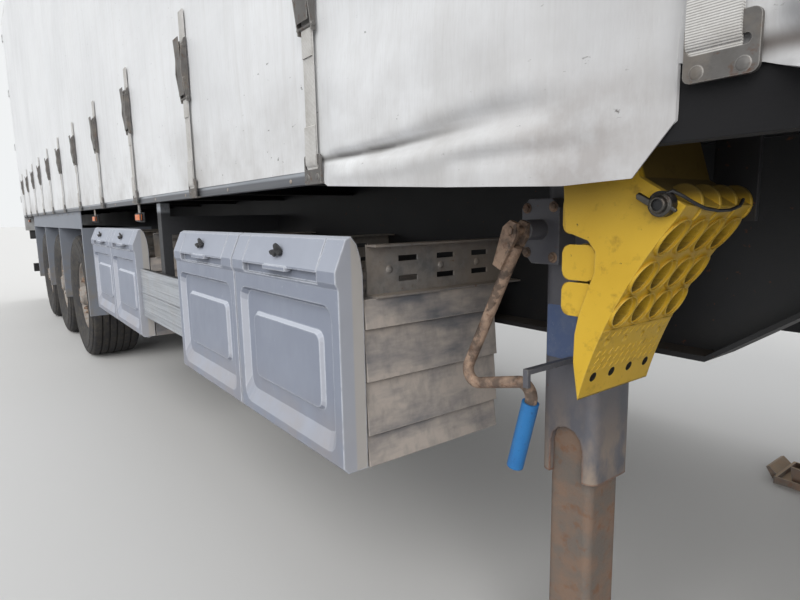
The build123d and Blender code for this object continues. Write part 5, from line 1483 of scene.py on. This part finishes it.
def door_seals(side):
    """The seal round one rear door and the rows of rivets across the door."""
    seal, rivet = range(2)
    bm = bmesh.new()
    for inner, outer, low, high in (
        (0.008, 1.236, 1.349, 1.375),
        (0.008, 1.236, 3.948, 3.973),
        (0.008, 0.032, 1.376, 3.947),
        (1.212, 1.236, 1.376, 3.947),
    ):
        start = (DOOR_BACK_X - 0.0028, side * inner, low)
        add_block(bm, start, (DOOR_BACK_X + 0.0002, side * outer, high), 0.001, seal)
    first_y = 0.054 if side > 0 else -1.190
    for z in (1.396, 1.64, 2.28, 2.92, 3.56, 3.924):
        for k in range(8):
            add_dome(bm, (DOOR_BACK_X, first_y + 0.15 * k, z), "X", -1, 0.0045, rivet)
    return bm


class TRAILER_OT_small_parts(bpy.types.Operator):
    """Adds bolts, plank ribs, rivets, door seals and panel joints"""

    bl_idname = "trailer.small_parts"
    bl_label = "Small parts"

    def execute(self, context):
        for name, bm, finish, slot in (
            ("round_head_bolts", round_head_bolts(), "Hot-dip galvanised steel", "galvanised"),
            ("guard_plank_ribs", guard_plank_ribs(), "Extruded aluminium", "alloy"),
            ("wall_and_roof_joints", wall_and_roof_joints(), "Powder-coated steel", "body_paint"),
        ):
            finish_piece(name, bm, [finish], "trailer")
        finishes = ("Moulded spring rubber", "Hot-dip galvanised steel")
        for side, name in SIDES:
            finish_piece("door_seals_" + name, door_seals(side), finishes, "door_" + name)
        return {"FINISHED"}


FINISHES_OF_NODES = {
    "Two-pack chassis paint": (
        "chassis_beams", "cross_members", "axles", "suspension_hangers", "trailing_arms", "underrun_bar",
        "air_tanks", "leg_cross_shaft", "chock_holder",
    ),
    "Powder-coated steel": ("rear_frame", "front_wall", "rear_door_right", "rear_door_left"),
    "Hot-dip galvanised steel": ("box_channels", "lock_rods_right", "lock_rods_left"),
    "Extruded aluminium": ("side_raves", "side_guard_right", "side_guard_left", "roof_frame", "side_posts"),
    "Greased turned steel": ("coupler_plate",),
    "Film-faced plywood": ("floor_deck",),
    "Glass-fibre laminate": ("roof_sheet",),
    "Stoving enamel, leg grey": ("landing_legs",),
    "Road-worn pressed steel": ("landing_feet", "leg_slides"),
    "Rusty drawn bar": ("crank",),
    "Dipped vinyl": ("crank_grip",),
    "Blow-moulded polyethylene": ("wheel_chock",),
    "Rotationally moulded polyethylene": (
        "toolbox_door_1", "toolbox_door_2", "toolbox_door_3", "toolbox_door_4",
    ),
    "Dusty moulded polyethylene": ("toolboxes",),
    "Vacuum-formed polypropylene": ("mudguard_right", "mudguard_left"),
    "Enamelled steel rim": (
        "rim_right_1", "rim_right_2", "rim_right_3", "rim_left_1", "rim_left_2", "rim_left_3",
    ),
}


class TRAILER_OT_finishes(bpy.types.Operator):
    """Makes every finish and gives the kept nodes theirs"""

    bl_idname = "trailer.finishes"
    bl_label = "Finishes"

    def execute(self, context):
        scene = context.scene
        cloth, wheel, box = scene.trailer_cloth, scene.trailer_wheel, scene.trailer_box
        leg, body = scene.trailer_leg, scene.trailer_body
        dust = box.dust_colour
        coated_cloth(cloth)
        strap_webbing(cloth)
        fitting_steel()
        galvanised_steel(dust)
        drawn_aluminium(dust)
        faded_box_plastic(box)
        dusty_tub_plastic(box)
        chassis_paint(body)
        leg_enamel(leg)
        rusty_casting()
        crank_steel()
        grip_vinyl(leg)
        chock_plastic(leg)
        tyre_rubber(wheel)
        rim_enamel(wheel)
        guard_plastic(body)
        film_faced_ply()
        body_powder_coat(body)
        roof_laminate()
        bellows_rubber()
        lens_acrylic("Red acrylic lens", "8E1512", "4E0806")
        lens_acrylic("Amber acrylic lens", "F07A12", "B8500A")
        lens_acrylic("Clear acrylic lens", "D9DADB", "9A9C9E")
        coupling_enamel("Red coupling enamel", "A32218")
        coupling_enamel("Yellow coupling enamel", "D2A21C")
        black_plastic()
        greased_steel()
        label_vinyl(leg)
        for finish, names in FINISHES_OF_NODES.items():
            for name in names:
                materials = NODES[name].data.materials
                materials.clear()
                materials.append(bpy.data.materials[finish])
        return {"FINISHED"}


def rays_that_see(tree):
    """A mask of the rays of the camera, of mirrors and of glass, which see the pale backdrop."""
    rays = add_node(tree, "ShaderNodeLightPath").outputs
    seen = rays["Is Camera Ray"]
    for kind in ("Is Glossy Ray", "Is Transmission Ray"):
        seen = add_node(tree, "ShaderNodeMath", {0: seen, 1: rays[kind]}, operation="MAXIMUM").outputs[0]
    return seen


def lay_floor(scene, look):
    """Lays a plain round floor just under the wheels."""
    bm = bmesh.new()
    bmesh.ops.create_circle(bm, cap_ends=True, radius=160, segments=96)
    mesh = bpy.data.meshes.new("studio_floor")
    bm.to_mesh(mesh)
    bm.free()
    finish = Finish("Plain studio floor", look.bounce_colour, 0.9)
    finish.lay(rays_that_see(finish.tree), look.floor_colour, 0.9)
    mesh.materials.append(finish.done())
    floor = bpy.data.objects.new("studio_floor", mesh)
    floor.location.z = -0.0006
    scene.collection.objects.link(floor)


def light_sky(scene, look):
    """Lights the scene softly all round, a little more from above, in front of a plain pale backdrop."""
    world = bpy.data.worlds.new("Soft sky")
    scene.world = world
    world.use_nodes = True
    tree = world.node_tree
    tree.nodes.clear()
    around = add_node(tree, "ShaderNodeTexCoord").outputs["Generated"]
    parts = add_node(tree, "ShaderNodeSeparateXYZ", {0: around})
    rise = add_node(
        tree,
        "ShaderNodeMapRange",
        {
            "Value": parts.outputs["Z"], "From Min": -0.05, "From Max": 0.9,
            "To Min": look.sky_strength * 0.9, "To Max": look.sky_strength * 1.05,
        },
    )
    light = add_node(
        tree, "ShaderNodeBackground", {"Color": (0.95, 0.97, 1.0, 1.0), "Strength": rise.outputs["Result"]}
    )
    backdrop = add_node(tree, "ShaderNodeBackground", {"Color": linear("F1F3F4"), "Strength": 1.0})
    mixed = add_node(
        tree, "ShaderNodeMixShader", {0: rays_that_see(tree), 1: light.outputs[0], 2: backdrop.outputs[0]}
    )
    add_node(tree, "ShaderNodeOutputWorld", {"Surface": mixed.outputs[0]})


def hang_lamps(scene, look):
    """Hangs a broad key lamp and a broader fill lamp opposite."""
    for name, strength, spread, way in (
        ("soft_key", look.key_strength, 60, (-0.52, 0.70, -0.49)),
        ("soft_fill", look.fill_strength, 90, (0.60, -0.60, -0.53)),
    ):
        lamp = bpy.data.lights.new(name, "SUN")
        lamp.energy = strength
        lamp.angle = radians(spread)
        lamp.color = (1.0, 0.985, 0.96)
        hung = bpy.data.objects.new(name, lamp)
        hung.rotation_euler = Vector(way).to_track_quat("-Z", "Y").to_euler()
        scene.collection.objects.link(hung)


def place_camera(scene):
    """Places the camera that was fitted to the photo: its focal length, place, aim and lean."""
    width_px, focal_px, sensor_mm = 800, 559.97, 36
    place = (3.5654, -1.8760, 1.1678)
    yaw, pitch, roll = 0.64284, 0.15085, -0.018955
    eye = bpy.data.cameras.new("photo_view")
    eye.sensor_width = sensor_mm
    eye.lens = focal_px / width_px * sensor_mm
    eye.clip_start = 0.02
    eye.clip_end = 500
    camera = bpy.data.objects.new("photo_view", eye)
    scene.collection.objects.link(camera)
    ahead = Vector((-cos(yaw) * cos(pitch), sin(yaw) * cos(pitch), -sin(pitch)))
    right = ahead.cross(Vector((0, 0, 1))).normalized()
    up = right.cross(ahead)
    across = cos(roll) * right + sin(roll) * up
    over = -sin(roll) * right + cos(roll) * up
    turned = Matrix((across, over, -ahead)).transposed().to_4x4()
    camera.matrix_world = Matrix.Translation(place) @ turned
    scene.camera = camera


class TRAILER_OT_stage(bpy.types.Operator):
    """Sets the floor, the backdrop, the lamps and the camera"""

    bl_idname = "trailer.stage"
    bl_label = "Stage"

    def execute(self, context):
        scene = context.scene
        look = scene.trailer_stage
        lay_floor(scene, look)
        light_sky(scene, look)
        hang_lamps(scene, look)
        place_camera(scene)
        scene.view_settings.view_transform = "Standard"
        return {"FINISHED"}


class TRAILER_PT_panel(bpy.types.Panel):
    """Lists the steps that dress the trailer"""

    bl_idname = "TRAILER_PT_panel"
    bl_label = "Semi trailer"
    bl_space_type = "VIEW_3D"
    bl_region_type = "UI"
    bl_category = "Trailer"

    def draw(self, context):
        for step in STEPS:
            self.layout.operator(step.bl_idname)


SETTINGS = (
    # name on the scene, group
    ("trailer_cloth", TrailerClothSettings),
    ("trailer_wheel", TrailerWheelSettings),
    ("trailer_box", TrailerBoxSettings),
    ("trailer_leg", TrailerLegSettings),
    ("trailer_body", TrailerBodySettings),
    ("trailer_stage", TrailerStageSettings),
)
STEPS = (
    TRAILER_OT_stage,
    TRAILER_OT_finishes,
    TRAILER_OT_curtains,
    TRAILER_OT_straps,
    TRAILER_OT_tyres,
    TRAILER_OT_bellows,
    TRAILER_OT_latches,
    TRAILER_OT_leg_fittings,
    TRAILER_OT_chock_details,
    TRAILER_OT_lamps,
    TRAILER_OT_couplings,
    TRAILER_OT_small_parts,
)


def register():
    """Makes the settings, steps and panel known."""
    for name, group in SETTINGS:
        bpy.utils.register_class(group)
        setattr(bpy.types.Scene, name, PointerProperty(type=group))
    for step in STEPS:
        bpy.utils.register_class(step)
    bpy.utils.register_class(TRAILER_PT_panel)


def unregister():
    """Takes the panel, steps and settings away again."""
    bpy.utils.unregister_class(TRAILER_PT_panel)
    for step in reversed(STEPS):
        bpy.utils.unregister_class(step)
    for name, group in reversed(SETTINGS):
        delattr(bpy.types.Scene, name)
        bpy.utils.unregister_class(group)


def main():
    """Runs the steps in order."""
    register()
    for step in STEPS:
        group, name = step.bl_idname.split(".")
        getattr(getattr(bpy.ops, group), name)()


if __name__ == "__main__":
    main()
